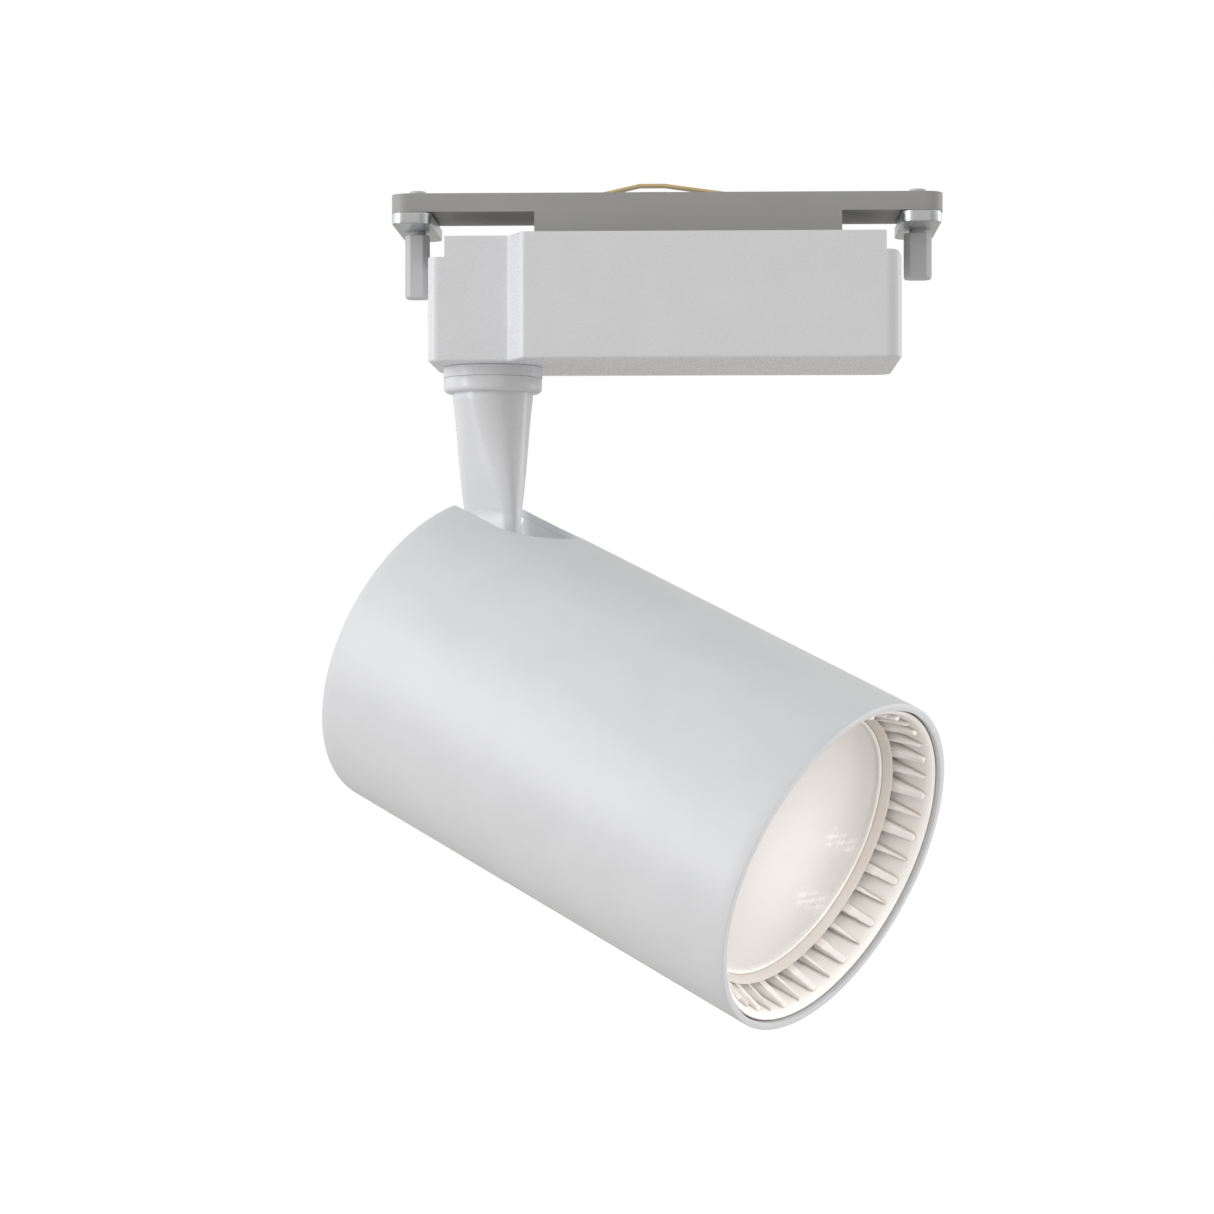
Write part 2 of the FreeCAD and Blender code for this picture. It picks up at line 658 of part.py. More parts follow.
def lamp_tube():
    points = [(TUBE_BORE, REAR), (TUBE_RADIUS - RIM_ROUND, REAR), (TUBE_RADIUS, REAR + RIM_ROUND)]
    points += [(TUBE_RADIUS, FRONT - RIM_ROUND), (TUBE_RADIUS - RIM_ROUND, FRONT), (TUBE_BORE, FRONT)]
    tube = turned(points, "x")
    tube = tube.cut(slot_plan(SLOT_HALF_WIDTH, REAR - 5, 10, 40))
    outside = around(TUBE_SCREW_ANGLE, TUBE_RADIUS + 0.05, TUBE_SCREW_X)
    inward = around(TUBE_SCREW_ANGLE, 1, 0) * -1
    tube = tube.cut(Part.makeCone(3.1, 1.4, 1.7, outside, inward))
    tube = tube.cut(rod(1.4, outside, around(TUBE_SCREW_ANGLE, 25, TUBE_SCREW_X)))
    return in_head(tube)


def tube_screw():
    top = around(TUBE_SCREW_ANGLE, TUBE_RADIUS - 0.1, TUBE_SCREW_X)
    end = around(TUBE_SCREW_ANGLE, 23.0, TUBE_SCREW_X)
    return in_head(screw(2.8, 1.5, 1.23, top, end, True))


def rear_cap():
    disc = rod(INNER_RADIUS, vec(CAP_REAR, 0, 0), vec(CAP_REAR + CAP_THICK, 0, 0))
    pocket = slot_plan(SLOT_HALF_WIDTH + POCKET_WALL, CAP_REAR, POCKET_FLOOR, 40)
    pocket = pocket.common(rod(INNER_RADIUS, vec(CAP_REAR, 0, 0), vec(20, 0, 0)))
    cap = disc.fuse(pocket)
    for y in (-5.6, 5.6):
        cap = cap.fuse(rod(2.6, vec(-7.6, y, POCKET_FLOOR - 4), vec(-7.6, y, POCKET_FLOOR + 0.5)))
    for angle in CAP_SCREW_ANGLES:
        start = around(angle, CAP_SCREW_CIRCLE, CAP_REAR)
        cap = cap.fuse(rod(3.2, start, around(angle, CAP_SCREW_CIRCLE, SINK_REAR - 0.05)))
    cap = cap.cut(slot_plan(SLOT_HALF_WIDTH, CAP_REAR - 5, POCKET_FLOOR + POCKET_WALL, 41))
    for angle in CAP_SCREW_ANGLES:
        start = around(angle, CAP_SCREW_CIRCLE, CAP_REAR - 1)
        cap = cap.cut(rod(1.7, start, around(angle, CAP_SCREW_CIRCLE, SINK_REAR + 1)))
        cap = cap.cut(rod(2.6, start, around(angle, CAP_SCREW_CIRCLE, CAP_REAR + 2)))
    for y in (-5.6, 5.6):
        cap = cap.cut(rod(SCREW_RADIUS, vec(-7.6, y, POCKET_FLOOR - 3), vec(-7.6, y, 0)))
    for y in (-15.0, -10.5, -6.0, 6.0, 10.5, 15.0):
        vent = block(CAP_REAR - 1, CAP_REAR + 3, y - 1.0, y + 1.0, -21.5, -15.0)
        cap = cap.cut(vent)
    cap = cap.cut(rod(2.3, vec(0, 0, LEAD_DROP), vec(10, 0, LEAD_DROP)))
    return in_head(cap.removeSplitter())


def rear_cap_screws():
    screws = []
    for angle in CAP_SCREW_ANGLES:
        top = around(angle, CAP_SCREW_CIRCLE, CAP_REAR + 0.2)
        end = around(angle, CAP_SCREW_CIRCLE, 14)
        screws.append(in_head(screw(2.5, 1.75, 1.48, top, end, False)))
    return screws


def tilt_bracket():
    seat = POCKET_FLOOR + POCKET_WALL + 0.02
    base = slot_plan(SLOT_HALF_WIDTH - 0.5, -11, seat, seat + 1.2)
    base = base.common(block(-11, 20, -8, 8, -20, 20))
    body = base
    for side in (-1, 1):
        inner = side * EAR_INNER
        outer = side * EAR_OUTER
        ear = rod(EAR_RADIUS, vec(0, inner, 0), vec(0, outer, 0))
        leg = block(-EAR_RADIUS, EAR_RADIUS, min(inner, outer), max(inner, outer), seat, 0)
        body = body.fuse(ear).fuse(leg)
    for y in (-5.6, 5.6):
        body = body.cut(rod(SCREW_RADIUS + 0.2, vec(-7.6, y, -20), vec(-7.6, y, 0)))
    body = body.cut(rod(PIVOT_RADIUS + 0.01, vec(0, -10, 0), vec(0, 10, 0)))
    return in_head(body.removeSplitter())


def bracket_screws():
    screws = []
    seat = POCKET_FLOOR + POCKET_WALL + 1.24
    for y in (-5.6, 5.6):
        top = vec(-7.6, y, seat + 1.3)
        end = vec(-7.6, y, seat - 4)
        screws.append(in_head(screw(2.1, 1.3, SCREW_RADIUS - SCREW_GAP, top, end, False)))
    return screws


def friction_washers():
    washers = []
    for side in (-1, 1):
        start = vec(0, side * (BLADE_HALF_THICK + 0.06), 0)
        end = vec(0, side * (EAR_INNER - 0.02), 0)
        washers.append(in_head(ring(EAR_RADIUS, PIVOT_RADIUS + 0.01, start, end)))
    return washers


def pivot_bolt():
    shaft = rod(PIVOT_RADIUS, vec(0, -EAR_OUTER - 0.5, 0), vec(0, EAR_OUTER, 0))
    thread = rod(THREAD_RADIUS, vec(0, EAR_OUTER - 0.5, 0), vec(0, 7.8, 0))
    head = rod(3.0, vec(0, -6.8, 0), vec(0, -EAR_OUTER - 0.02, 0))
    socket = hexagon(2.5, vec(0, -7, 0), vec(0, -5.6, 0))
    return in_head(head.fuse(shaft).fuse(thread).cut(socket).removeSplitter())


def pivot_nut():
    nut = hexagon(5.5, vec(0, EAR_OUTER + 0.02, 0), vec(0, 7.2, 0))
    return in_head(nut.cut(rod(THREAD_RADIUS + 0.01, vec(0, 0, 0), vec(0, 10, 0))))


def cable_grommet():
    outer = rod(2.25, vec(6.75, 0, LEAD_DROP), vec(8.5, 0, LEAD_DROP))
    for y in (-1.0, 1.0):
        outer = outer.cut(rod(LEAD_RADIUS + 0.02, vec(5, y, LEAD_DROP), vec(10, y, LEAD_DROP)))
    return in_head(outer)


def heat_sink():
    base = rod(SINK_RADIUS, vec(SINK_BASE, 0, 0), vec(SINK_FRONT, 0, 0))
    core = rod(SINK_CORE, vec(SINK_REAR, 0, 0), vec(SINK_BASE + 1, 0, 0))
    body = core
    fins = []
    for i in range(FIN_COUNT):
        fin = block(SINK_REAR, SINK_BASE + 1, SINK_CORE - 1, SINK_RADIUS, -FIN_THICK / 2, FIN_THICK / 2)
        fin.rotate(ORIGIN, X_AXIS, 360.0 * i / FIN_COUNT)
        fins.append(fin)
    posts = []
    for angle in CAP_SCREW_ANGLES:
        start = around(angle, CAP_SCREW_CIRCLE, SINK_REAR)
        posts.append(rod(3.2, start, around(angle, CAP_SCREW_CIRCLE, SINK_BASE + 1)))
    screw_end = around(TUBE_SCREW_ANGLE, 8, TUBE_SCREW_X)
    posts.append(rod(3.4, screw_end, around(TUBE_SCREW_ANGLE, SINK_RADIUS - 0.2, TUBE_SCREW_X)))
    body = body.multiFuse(fins + posts + [base])
    body = body.common(rod(SINK_RADIUS, vec(SINK_REAR, 0, 0), vec(SINK_FRONT, 0, 0)))
    holes = [rod(2.2, vec(0, 0, LEAD_DROP), vec(40, 0, LEAD_DROP))]
    for angle in CAP_SCREW_ANGLES:
        holes.append(rod(1.5, around(angle, CAP_SCREW_CIRCLE, 0), around(angle, CAP_SCREW_CIRCLE, 18)))
    screw_end = around(TUBE_SCREW_ANGLE, 21, TUBE_SCREW_X)
    holes.append(rod(1.25, screw_end, around(TUBE_SCREW_ANGLE, 40, TUBE_SCREW_X)))
    for angle in PILLAR_ANGLES:
        holes.append(rod(1.25, around(angle, PILLAR_CIRCLE, SINK_BASE), around(angle, PILLAR_CIRCLE, 40)))
    for angle in (0.0, 180.0):
        holes.append(rod(1.25, around(angle, 16, SINK_BASE), around(angle, 16, 40)))
    return in_head(body.cut(Part.makeCompound(holes)).removeSplitter())


def module_holes(body):
    """Cuts the lead window and the two holder screws' holes through a disc of the light engine."""
    body = body.cut(rod(2.2, vec(20, 0, LEAD_DROP), vec(40, 0, LEAD_DROP)))
    for angle in (0.0, 180.0):
        body = body.cut(rod(1.4, around(angle, 16, 20), around(angle, 16, 40)))
    return body


PAD_REAR = SINK_FRONT + 0.02
BOARD_REAR = PAD_REAR + PAD_THICK + 0.02
BOARD_FRONT = BOARD_REAR + LED_BOARD_THICK


def thermal_pad():
    pad = rod(LED_BOARD_RADIUS - 1, vec(PAD_REAR, 0, 0), vec(PAD_REAR + PAD_THICK, 0, 0))
    return in_head(module_holes(pad))


def led_board():
    return in_head(module_holes(rod(LED_BOARD_RADIUS, vec(BOARD_REAR, 0, 0), vec(BOARD_FRONT, 0, 0))))


def led_substrate():
    half = EMITTER_HALF
    return in_head(block(BOARD_FRONT + 0.02, BOARD_FRONT + 1.0, -half, half, -half, half))


def led_phosphor():
    start = vec(BOARD_FRONT + 1.02, 0, 0)
    return in_head(rod(PHOSPHOR_RADIUS, start, start.add(vec(0.5, 0, 0))))


def led_holder():
    rear = BOARD_FRONT + 0.02
    points = [(6.6, rear), (19.0, rear), (19.0, rear + 1.8), (12.0, HOLDER_FRONT), (9.2, HOLDER_FRONT)]
    points += [(6.6, rear + 1.7)]
    body = turned(points, "x")
    half = EMITTER_HALF + 0.15
    body = body.cut(block(rear - 1, rear + 1.05, -half, half, -half, half))
    for angle in (0.0, 180.0):
        body = body.cut(rod(1.4, around(angle, 16, rear - 1), around(angle, 16, rear + 5)))
        body = body.cut(rod(2.9, around(angle, 16, rear + 1.2), around(angle, 16, rear + 5)))
    return in_head(body)


def holder_screws():
    screws = []
    for angle in (0.0, 180.0):
        top = around(angle, 16, BOARD_FRONT + 2.9)
        screws.append(in_head(screw(2.6, 1.6, 1.22, top, around(angle, 16, SINK_BASE + 0.4), False)))
    return screws


def reflector():
    """A parabolic bowl that opens forwards, with a flange under the lens."""
    start = HOLDER_FRONT + 0.05
    end = FRONT - LENS_DEPTH - LENS_THICK - 0.75
    inner_small = 7.6
    inner_large = 22.8
    wall = 0.8
    steps = 12
    inside = []
    outside = []
    for i in range(steps + 1):
        part = i / steps
        x = start + (end - start) * part
        radius = math.sqrt(inner_small ** 2 + (inner_large ** 2 - inner_small ** 2) * part)
        inside.append((radius, x))
        outside.append((radius + wall, x))
    flange = [(LENS_RADIUS, end), (LENS_RADIUS, end + 0.7), (inner_large, end + 0.7)]
    return in_head(turned(inside[::-1] + outside[:-1] + [(inner_large + wall, end)] + flange, "x"))


def lens():
    front = FRONT - LENS_DEPTH
    crown = 0.6
    radius = LENS_RADIUS
    sphere = (radius ** 2 + crown ** 2) / (2 * crown)
    disc = rod(radius, vec(front - LENS_THICK, 0, 0), vec(front + crown, 0, 0))
    return in_head(disc.common(Part.makeSphere(sphere, vec(front + crown - sphere, 0, 0))))


def lens_ring():
    lip = 23.45
    sleeve = LENS_RADIUS + 0.08
    outer = SLEEVE_BORE - 0.05
    rear = FRONT - LENS_DEPTH + 0.05
    seat = FRONT - LENS_DEPTH + 0.42
    edge = FRONT - BAND_BACK
    end = FRONT - BAFFLE_DEPTH
    points = [(lip, rear), (lip, edge - 0.2), (lip + 0.2, edge)]
    points += [(BAND_INNER - 0.05, edge), (BAND_INNER - 0.05, seat), (outer, seat)]
    points += [(outer, end), (sleeve, end), (sleeve, rear)]
    return in_head(turned(points, "x"))


def rib(angle, front_width, back_width, rounded):
    """A radial rib, thin at the front and thicker towards the lens, made along +y and turned."""
    tip = FRONT - BAFFLE_FLOOR
    shoulder = FRONT - BAND_FRONT
    back = FRONT - BAFFLE_DEPTH
    narrow = front_width / 2
    wide = back_width / 2
    front = [vec(tip, 0, -narrow), vec(tip, 0, narrow)]
    if rounded:
        front = [vec(tip - narrow, 0, -narrow), vec(tip - narrow * 0.3, 0, -narrow * 0.7)]
        front += [vec(tip, 0, 0), vec(tip - narrow * 0.3, 0, narrow * 0.7), vec(tip - narrow, 0, narrow)]
    points = front + [vec(shoulder, 0, wide), vec(back, 0, wide)]
    points += [vec(back, 0, -wide), vec(shoulder, 0, -wide)]
    body = Part.Face(Part.makePolygon(points + points[:1])).extrude(vec(0, 6, 0))
    body.translate(vec(0, 23, 0))
    body.rotate(ORIGIN, X_AXIS, angle)
    return body


def front_baffle():
    """The white casting in the tube's mouth: an outer ring, forty ribs and the ring around the lens."""
    edge = FRONT - BAFFLE_EDGE
    floor = FRONT - BAFFLE_FLOOR
    back = FRONT - BAFFLE_DEPTH
    outer = [(BAFFLE_RADIUS, edge), (BAFFLE_RADIUS, back - 1)]
    outer += [(GROOVE_RADIUS, back - 1), (GROOVE_RADIUS, floor)]
    band = [(BAND_RADIUS, FRONT - BAND_FRONT), (BAND_RADIUS, back), (SLEEVE_BORE, back)]
    band += [(SLEEVE_BORE, FRONT - BAND_BACK - 0.42), (BAND_INNER, FRONT - BAND_BACK - 0.42)]
    band += [(BAND_INNER, FRONT - BAND_BACK)]
    envelope = [(GROOVE_RADIUS + 0.2, floor + 0.15), (GROOVE_RADIUS + 0.2, back), (BAND_RADIUS - 0.1, back)]
    envelope += [(BAND_RADIUS - 0.1, FRONT - BAND_FRONT)]
    ribs = []
    for i in range(RIB_COUNT):
        angle = RIB_START + RIB_PITCH * i
        if i % 2:
            ribs.append(rib(angle, NARROW_RIB_FRONT, NARROW_RIB_BACK, False))
        else:
            ribs.append(rib(angle, WIDE_RIB_FRONT, WIDE_RIB_BACK, True))
    ribs = turned(envelope, "x").common(Part.makeCompound(ribs))
    lugs = []
    for angle in PILLAR_ANGLES:
        start = around(angle, PILLAR_CIRCLE, back - 2)
        lugs.append(rod(1.75, start, around(angle, PILLAR_CIRCLE, back + 2)))
    body = turned(outer, "x").multiFuse([turned(band, "x")] + ribs.Solids + lugs)
    for angle in PILLAR_ANGLES:
        start = around(angle, PILLAR_CIRCLE, back - 3)
        body = body.cut(rod(0.9, start, around(angle, PILLAR_CIRCLE, back + 1)))
    return in_head(body)


def pillars():
    posts = []
    rear = SINK_FRONT + 0.02
    front = FRONT - BAFFLE_DEPTH - 2.02
    for angle in PILLAR_ANGLES:
        stations = (SINK_BASE + 0.2, rear, 35, 60, front, front + 2.8)
        places = [around(angle, PILLAR_CIRCLE, x) for x in stations]
        post = rod(PILLAR_RADIUS, places[1], places[4])
        post = post.fuse(rod(1.2, places[0], places[2])).fuse(rod(0.88, places[3], places[5]))
        posts.append(in_head(post.removeSplitter()))
    return posts


def led_leads():
    leads = []
    for y in (-1.0, 1.0):
        start = vec(6.9, y, LEAD_DROP)
        leads.append(in_head(rod(LEAD_RADIUS, start, vec(BOARD_FRONT - 0.1, y, LEAD_DROP))))
    return leads


os.makedirs("parts", exist_ok=True)

save("adapter_housing", adapter_housing())
save("cover_plate", cover_plate())
save("contact_tongue", contact_tongue())
save("cover_screws", cover_screws())
save("live_contact", leaf(14.0, -5.0, 22.0))
save("neutral_contact", leaf(14.0, 5.0, 22.0))
save("earth_contact", earth_contact())
save("driver_board", driver_board())
save("transformer_core", transformer_core())
save("transformer_winding", transformer_winding())
save("bulk_capacitor", bulk_capacitor())
save("output_capacitor", output_capacitor())
save("choke", choke())
save("driver_chips", driver_chips())
save("terminal_block", terminal_block())
save("driver_leads", driver_leads())
save("insulation_sheet", insulation_sheet())
save("swivel_bush", swivel_bush())
save("latch_left_knob", latch_knob(LATCH_LEFT_X, KNOB_LEFT_LENGTH, KNOB_LEFT_DROP))
save("latch_left_cam", latch_cam(LATCH_LEFT_X))
save("latch_left_clip", latch_clip(LATCH_LEFT_X))
save("latch_right_knob", latch_knob(LATCH_RIGHT_X, KNOB_RIGHT_LENGTH, KNOB_RIGHT_DROP))
save("latch_right_cam", latch_cam(LATCH_RIGHT_X))
save("latch_right_clip", latch_clip(LATCH_RIGHT_X))
save("stem", stem())
save("swivel_collar", swivel_collar())
save("swivel_tube", swivel_tube())
save("swivel_washer", swivel_washer())
save("swivel_nut", swivel_nut())
save("stem_leads", stem_leads())
save("lamp_tube", lamp_tube())
save("tube_screw", tube_screw())
save("rear_cap", rear_cap())
save("rear_cap_screws", rear_cap_screws())
save("tilt_bracket", tilt_bracket())
save("bracket_screws", bracket_screws())
save("friction_washers", friction_washers())
save("pivot_bolt", pivot_bolt())
save("pivot_nut", pivot_nut())
save("cable_grommet", cable_grommet())
save("heat_sink", heat_sink())
save("thermal_pad", thermal_pad())
save("led_board", led_board())
save("led_substrate", led_substrate())
save("led_phosphor", led_phosphor())
save("led_holder", led_holder())
save("holder_screws", holder_screws())
save("reflector", reflector())
save("lens", lens())
save("lens_ring", lens_ring())
save("front_baffle", front_baffle())
save("pillars", pillars())
save("led_leads", led_leads())
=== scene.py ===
import json
import math
from collections import namedtuple

import bmesh
import bpy
from mathutils import Matrix, Vector

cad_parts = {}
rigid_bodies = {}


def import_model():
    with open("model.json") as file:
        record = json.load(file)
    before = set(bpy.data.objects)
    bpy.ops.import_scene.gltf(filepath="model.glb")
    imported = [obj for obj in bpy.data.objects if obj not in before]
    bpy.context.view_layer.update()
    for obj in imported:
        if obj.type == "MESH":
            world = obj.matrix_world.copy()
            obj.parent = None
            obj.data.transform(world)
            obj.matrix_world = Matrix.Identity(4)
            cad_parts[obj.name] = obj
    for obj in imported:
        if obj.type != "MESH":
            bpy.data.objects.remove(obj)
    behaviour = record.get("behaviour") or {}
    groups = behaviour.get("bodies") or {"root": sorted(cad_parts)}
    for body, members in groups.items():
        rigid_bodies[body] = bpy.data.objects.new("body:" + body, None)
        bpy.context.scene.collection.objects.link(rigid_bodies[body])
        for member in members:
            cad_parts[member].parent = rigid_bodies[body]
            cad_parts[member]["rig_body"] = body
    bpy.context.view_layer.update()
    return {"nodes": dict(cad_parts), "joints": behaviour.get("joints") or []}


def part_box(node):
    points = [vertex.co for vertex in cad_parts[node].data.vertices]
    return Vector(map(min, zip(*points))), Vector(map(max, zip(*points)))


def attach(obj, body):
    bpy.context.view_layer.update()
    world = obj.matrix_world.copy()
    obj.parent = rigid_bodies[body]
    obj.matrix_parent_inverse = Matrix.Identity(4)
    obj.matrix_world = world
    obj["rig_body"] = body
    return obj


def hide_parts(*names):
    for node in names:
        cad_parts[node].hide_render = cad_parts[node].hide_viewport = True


# Track spotlight: its looks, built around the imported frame. Places in the studio are in metres in the frame's
# axes. Shapes are written in millimetres, in the head's or the collar's own axes, and placed by a matrix.
# A name that ends in CREASE is the angle in degrees above which an edge stays sharp.
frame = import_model()

MM = 0.001

# The head's own axes: x runs forward along the tube from the pivot, y along the pivot bolt, and z up, square
# to both. The LED board is a flat disc on the tube's axis.
TILT = next(joint for joint in frame["joints"] if joint["name"] == "tilt")
PIVOT = Vector(TILT["pos_m"])
SIDE = Vector(TILT["axis"]).normalized()
DISC_LOW, DISC_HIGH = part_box("led_board")
AIM = ((DISC_LOW + DISC_HIGH) / 2 - PIVOT).normalized()
UP = AIM.cross(SIDE)
HEAD = Matrix.Translation(PIVOT) @ Matrix((AIM, SIDE, UP)).transposed().to_4x4() @ Matrix.Scale(MM, 4)

# The collar turns about the frame's z axis, so x and z change places
UPRIGHT = Matrix(((0, 0, 1, 0), (0, 1, 0, 0), (1, 0, 0, 0), (0, 0, 0, 1))) @ Matrix.Scale(MM, 4)


def along_aim(node):
    """How far back and forward a head node reaches along the tube's axis from the pivot, in millimetres."""
    reach = [(v.co - PIVOT).dot(AIM) / MM for v in frame["nodes"][node].data.vertices]
    return min(reach), max(reach)


def from_aim(node):
    """The nearest and farthest distance of a head node's points from the tube's axis, in millimetres."""
    reach = [(v.co - PIVOT).cross(AIM).length / MM for v in frame["nodes"][node].data.vertices]
    return min(reach), max(reach)


REAR, FRONT = along_aim("lamp_tube")
TUBE_BORE, TUBE_RADIUS = from_aim("lamp_tube")

# Lamp tube
SLOT_HALF_WIDTH = 9.8
SLOT_CENTRE = REAR + 10.0
SLOT_CORNER = 0.6
EDGE_ROUND = 0.22
INNER_ROUND = 0.06
NOSE_STEPS = 24
SIDE_STEPS = 7
CORNER_STEPS = 4
REAR_STEPS = 84
LIP_STEPS = 3
TUBE_ROWS = 40
SETTLE_SHARE = 0.35
TUBE_CREASE = 50

# Rear cap: its points farther than POCKET_TOP from the tube's axis are brought up to POCKET_GAP below the
# tube's inside, if they are more than POCKET_START in front of its back or beside the pocket for the stem
POCKET_START = 1.8
POCKET_TOP = 28.3
POCKET_HALF_WIDTH = 9.9
POCKET_GAP = 0.01
CAP_CREASE = 30

# Tube screw
SCREW_ROUND = 0.1
SCREW_RISE = 0.2

# Swivel collar and stem
SWIVEL_TUBE = 4.61
COLLAR_ROUND = 0.9
COLLAR_EDGE = 0.1
COLLAR_SEAM = 0.015
COLLAR_STEPS = 8
COLLAR_TURNS = 144
STEM_CREASE = 35
CREASE = 40

# Front casting, as (radius, depth) points with depths measured back from the tube's front rim
CASTING_BACK = 13.0
CASTING_RADIUS = 28.6
WALL_RADIUS = 27.2
BAND_RADIUS = 25.2
BORE_RADIUS = 24.0
CASTING_LIP = [
    (CASTING_RADIUS, CASTING_BACK), (CASTING_RADIUS, 1.05), (28.53, 0.88), (28.38, 0.8), (28.2, 0.84),
    (27.95, 1.0), (27.72, 1.22), (27.55, 1.5),
]
OUTER_WALL = [
    (27.42, 1.85), (27.36, 2.05), (27.31, 2.3), (27.27, 2.7), (27.24, 3.4), (27.22, 5.0),
    (WALL_RADIUS, 8.5), (WALL_RADIUS, CASTING_BACK),
]
INNER_WALL = [
    (BAND_RADIUS, CASTING_BACK), (BAND_RADIUS, 11.5), (BAND_RADIUS, 10.0), (BAND_RADIUS, 9.0),
    (BAND_RADIUS, 8.3), (BAND_RADIUS, 7.9), (BAND_RADIUS, 7.65), (BAND_RADIUS - 0.02, 7.52),
]
BAND = [
    (25.08, 7.42), (24.92, 7.45), (24.6, 7.8), (24.25, 8.35), (24.06, 8.68), (BORE_RADIUS, 8.85),
    (BORE_RADIUS, 9.3), (24.85, 9.3), (24.85, CASTING_BACK),
]
CASTING_CREASE = 38

# Ribs of the front casting. A rib's line has one share for each point of the two walls that it joins, and its
# section goes over it from foot to foot as (share of the half width, share of the height).
RIB_COUNT = 40
RIB_PITCH = 360.0 / RIB_COUNT
RIB_START = 60.75
RIB_TIP = (27.4, 1.85)
RIB_HEEL = (25.2, 7.4)
RIB_LENGTH = 6.0
RIB_RISE = 0.75
RISE_DIRECTION = (0.93, 0.37)
RISE_SHARE = 0.07
RIB_SHARES = [0, 0.03, 0.07, 0.12, 0.19, 0.28, 0.38, 0.47, 0.56, 0.64, 0.72, 0.8, 0.87, 0.93, 0.97, 1.0]
RIB_SECTION = [
    (-1, 0), (-1, 0.55), (-1, 0.93), (-0.78, 1), (-0.3, 1), (0.3, 1), (0.78, 1), (1, 0.93), (1, 0.55), (1, 0),
]
WIDE_RIB = (0.64, 0.80)
NARROW_RIB = (0.14, 0.40)
POINTED_NOSE = 1.4
ROUND_NOSE = 1.3
LEAST_HALF_WIDTH = 0.02
GAP_SHARES = (0.32, 0.5, 0.68)

# Finishes: the paint of the tube and the stem, the size of the slow drift in a colour, and what all share
WHITE_PAINT = (0.78, 0.79, 0.82)
DRIFT_SIZE = 9.0
COAT_ROUGH = 0.3
SPECULAR = 0.5

# Colours of the front casting: warm white, with painted shade on the band round the lens that changes between
# two radii, and painted shade in creases narrower than about CREASE_REACH
CASTING_WHITE = (0.92, 0.895, 0.87)
BAND_PAINTED_SHADE = (0.66, 0.615, 0.575)
BAND_SHADE = (25.2, 25.6)
CREASE_REACH = 1.0
CREASE_PAINTED_SHADE = (0.50, 0.44, 0.40)
CREASE_RANGE = (0.3, 0.85)

# Lens
LENS_DEPTH = 9.9
LENS_RADIUS = 24.1
LENS_CROWN = 0.6
LENS_THICK = 2.0
LENS_CHAMFER = 0.15
LENS_EDGE = 0.1
LENS_STEPS = 24
LENS_TURNS = 160
# Painted glow on the lens: emission brightest a little below its centre and fading towards its rim
LENS_PAINTED_GLOW = 0.38
GLOW_START = 0.2
GLOW_DROP = 2.5
GLOW_EDGE = 0.45
GLOW_COLOUR = (1.0, 0.97, 0.95, 1)

# Painted highlights in a diamond pattern on the lens, near these spots to the side and up from its centre
FACET_SIZE = 1.1
FACET_SPOTS = ((12.5, 0.5), (16.5, -0.6), (20.5, -1.8), (9.8, -10.6), (13.6, -11.5), (17.4, -12.4))
FACET_REACH = 2.4
FACET_PAINTED_HIGHLIGHT = 0.16

# Studio light: an even base and soft lobes, each with its direction, the cosine where it starts and its
# colour. The lobes with a colour below zero take light away from their side.
SKY_BASE = (1.25, 1.25, 1.23)
DIMMED = (-0.6, -0.6, -0.6)
SKY = [
    ((-1, 0, 0), 0.3, (0.038, 0.043, 0.059)),
    ((0, -1, 0), 0.3, (-0.581, -0.595, -0.6)),
    ((0, 0, -1), 0.3, DIMMED),
    ((0, 1, 0), 0.3, DIMMED),
    ((0, 0, 1), 0.3, DIMMED),
    ((0.85, -0.5, 0), 0.7, (-0.5, -0.5, -0.5)),
]

# Lamps of the studio: place, target, width, height, power and colour
KEY_LIGHT = ((-0.9, -0.42, 0.05), (0, 0, -0.08), 0.22, 0.9, 3.02, (0.97, 0.98, 1.0))
RIM_LIGHT = ((0.95, 0.42, -0.05), (0, 0, -0.05), 0.25, 0.9, 1.5, (0.98, 0.99, 1.0))
MOUTH_LIGHT = (PIVOT + AIM * 0.5 + UP * 0.22 - SIDE * 0.12, PIVOT, 0.3, 0.3, 1.45, (1.0, 0.99, 0.97))
EDGE_LIGHT = (PIVOT + AIM * 0.6, PIVOT, 0.1, 0.1, 0.6, (0.98, 0.99, 1.0))

FLOOR_HALF_WIDTH = 6.0
FLOOR_HEIGHT = -0.6
FLOOR_GLOW = 0.75
FLOOR_DARK = (0.55, 0.53, 0.51)
FLOOR_PALE = (0.58, 0.56, 0.54)
FLOOR_GRAIN = 40.0
FLOOR_ROUGH = 0.8

CAMERA_PLACE = (0.0399, -0.5505, -0.0706)
CAMERA_AIM = (-0.03507, 0.99934, 0.00948)
CAMERA_LENS = 90.73
CAMERA_SENSOR = 36.0

# CAD nodes that only need their edges rounded, with the round's width in millimetres
ROUNDED = {
    "latch_left_knob": 0.12, "latch_right_knob": 0.12, "latch_left_cam": 0.2, "latch_right_cam": 0.2,
    "swivel_bush": 0.12, "swivel_nut": 0.2, "swivel_washer": 0.12,
    "terminal_block": 0.2, "driver_chips": 0.1, "transformer_core": 0.25, "transformer_winding": 0.5,
    "bulk_capacitor": 0.6, "output_capacitor": 0.5, "pivot_bolt": 0.2, "pivot_nut": 0.15,
    "rear_cap_screws": 0.15, "cover_screws": 0.1, "holder_screws": 0.12,
    "bracket_screws": 0.12, "led_substrate": 0.08,
}
FLAT_ANGLE = 0.6
SHARP_ANGLE = 35
ROUND_SEGMENTS = 2

# Points closer than this are joined, in metres: in new pieces and in copies of CAD nodes
SAME_POINT = 1e-7
SAME_CAD_POINT = 1e-6


# Mesh helpers

def link(name, mesh):
    piece = bpy.data.objects.new(name, mesh)
    bpy.context.scene.collection.objects.link(piece)
    return piece


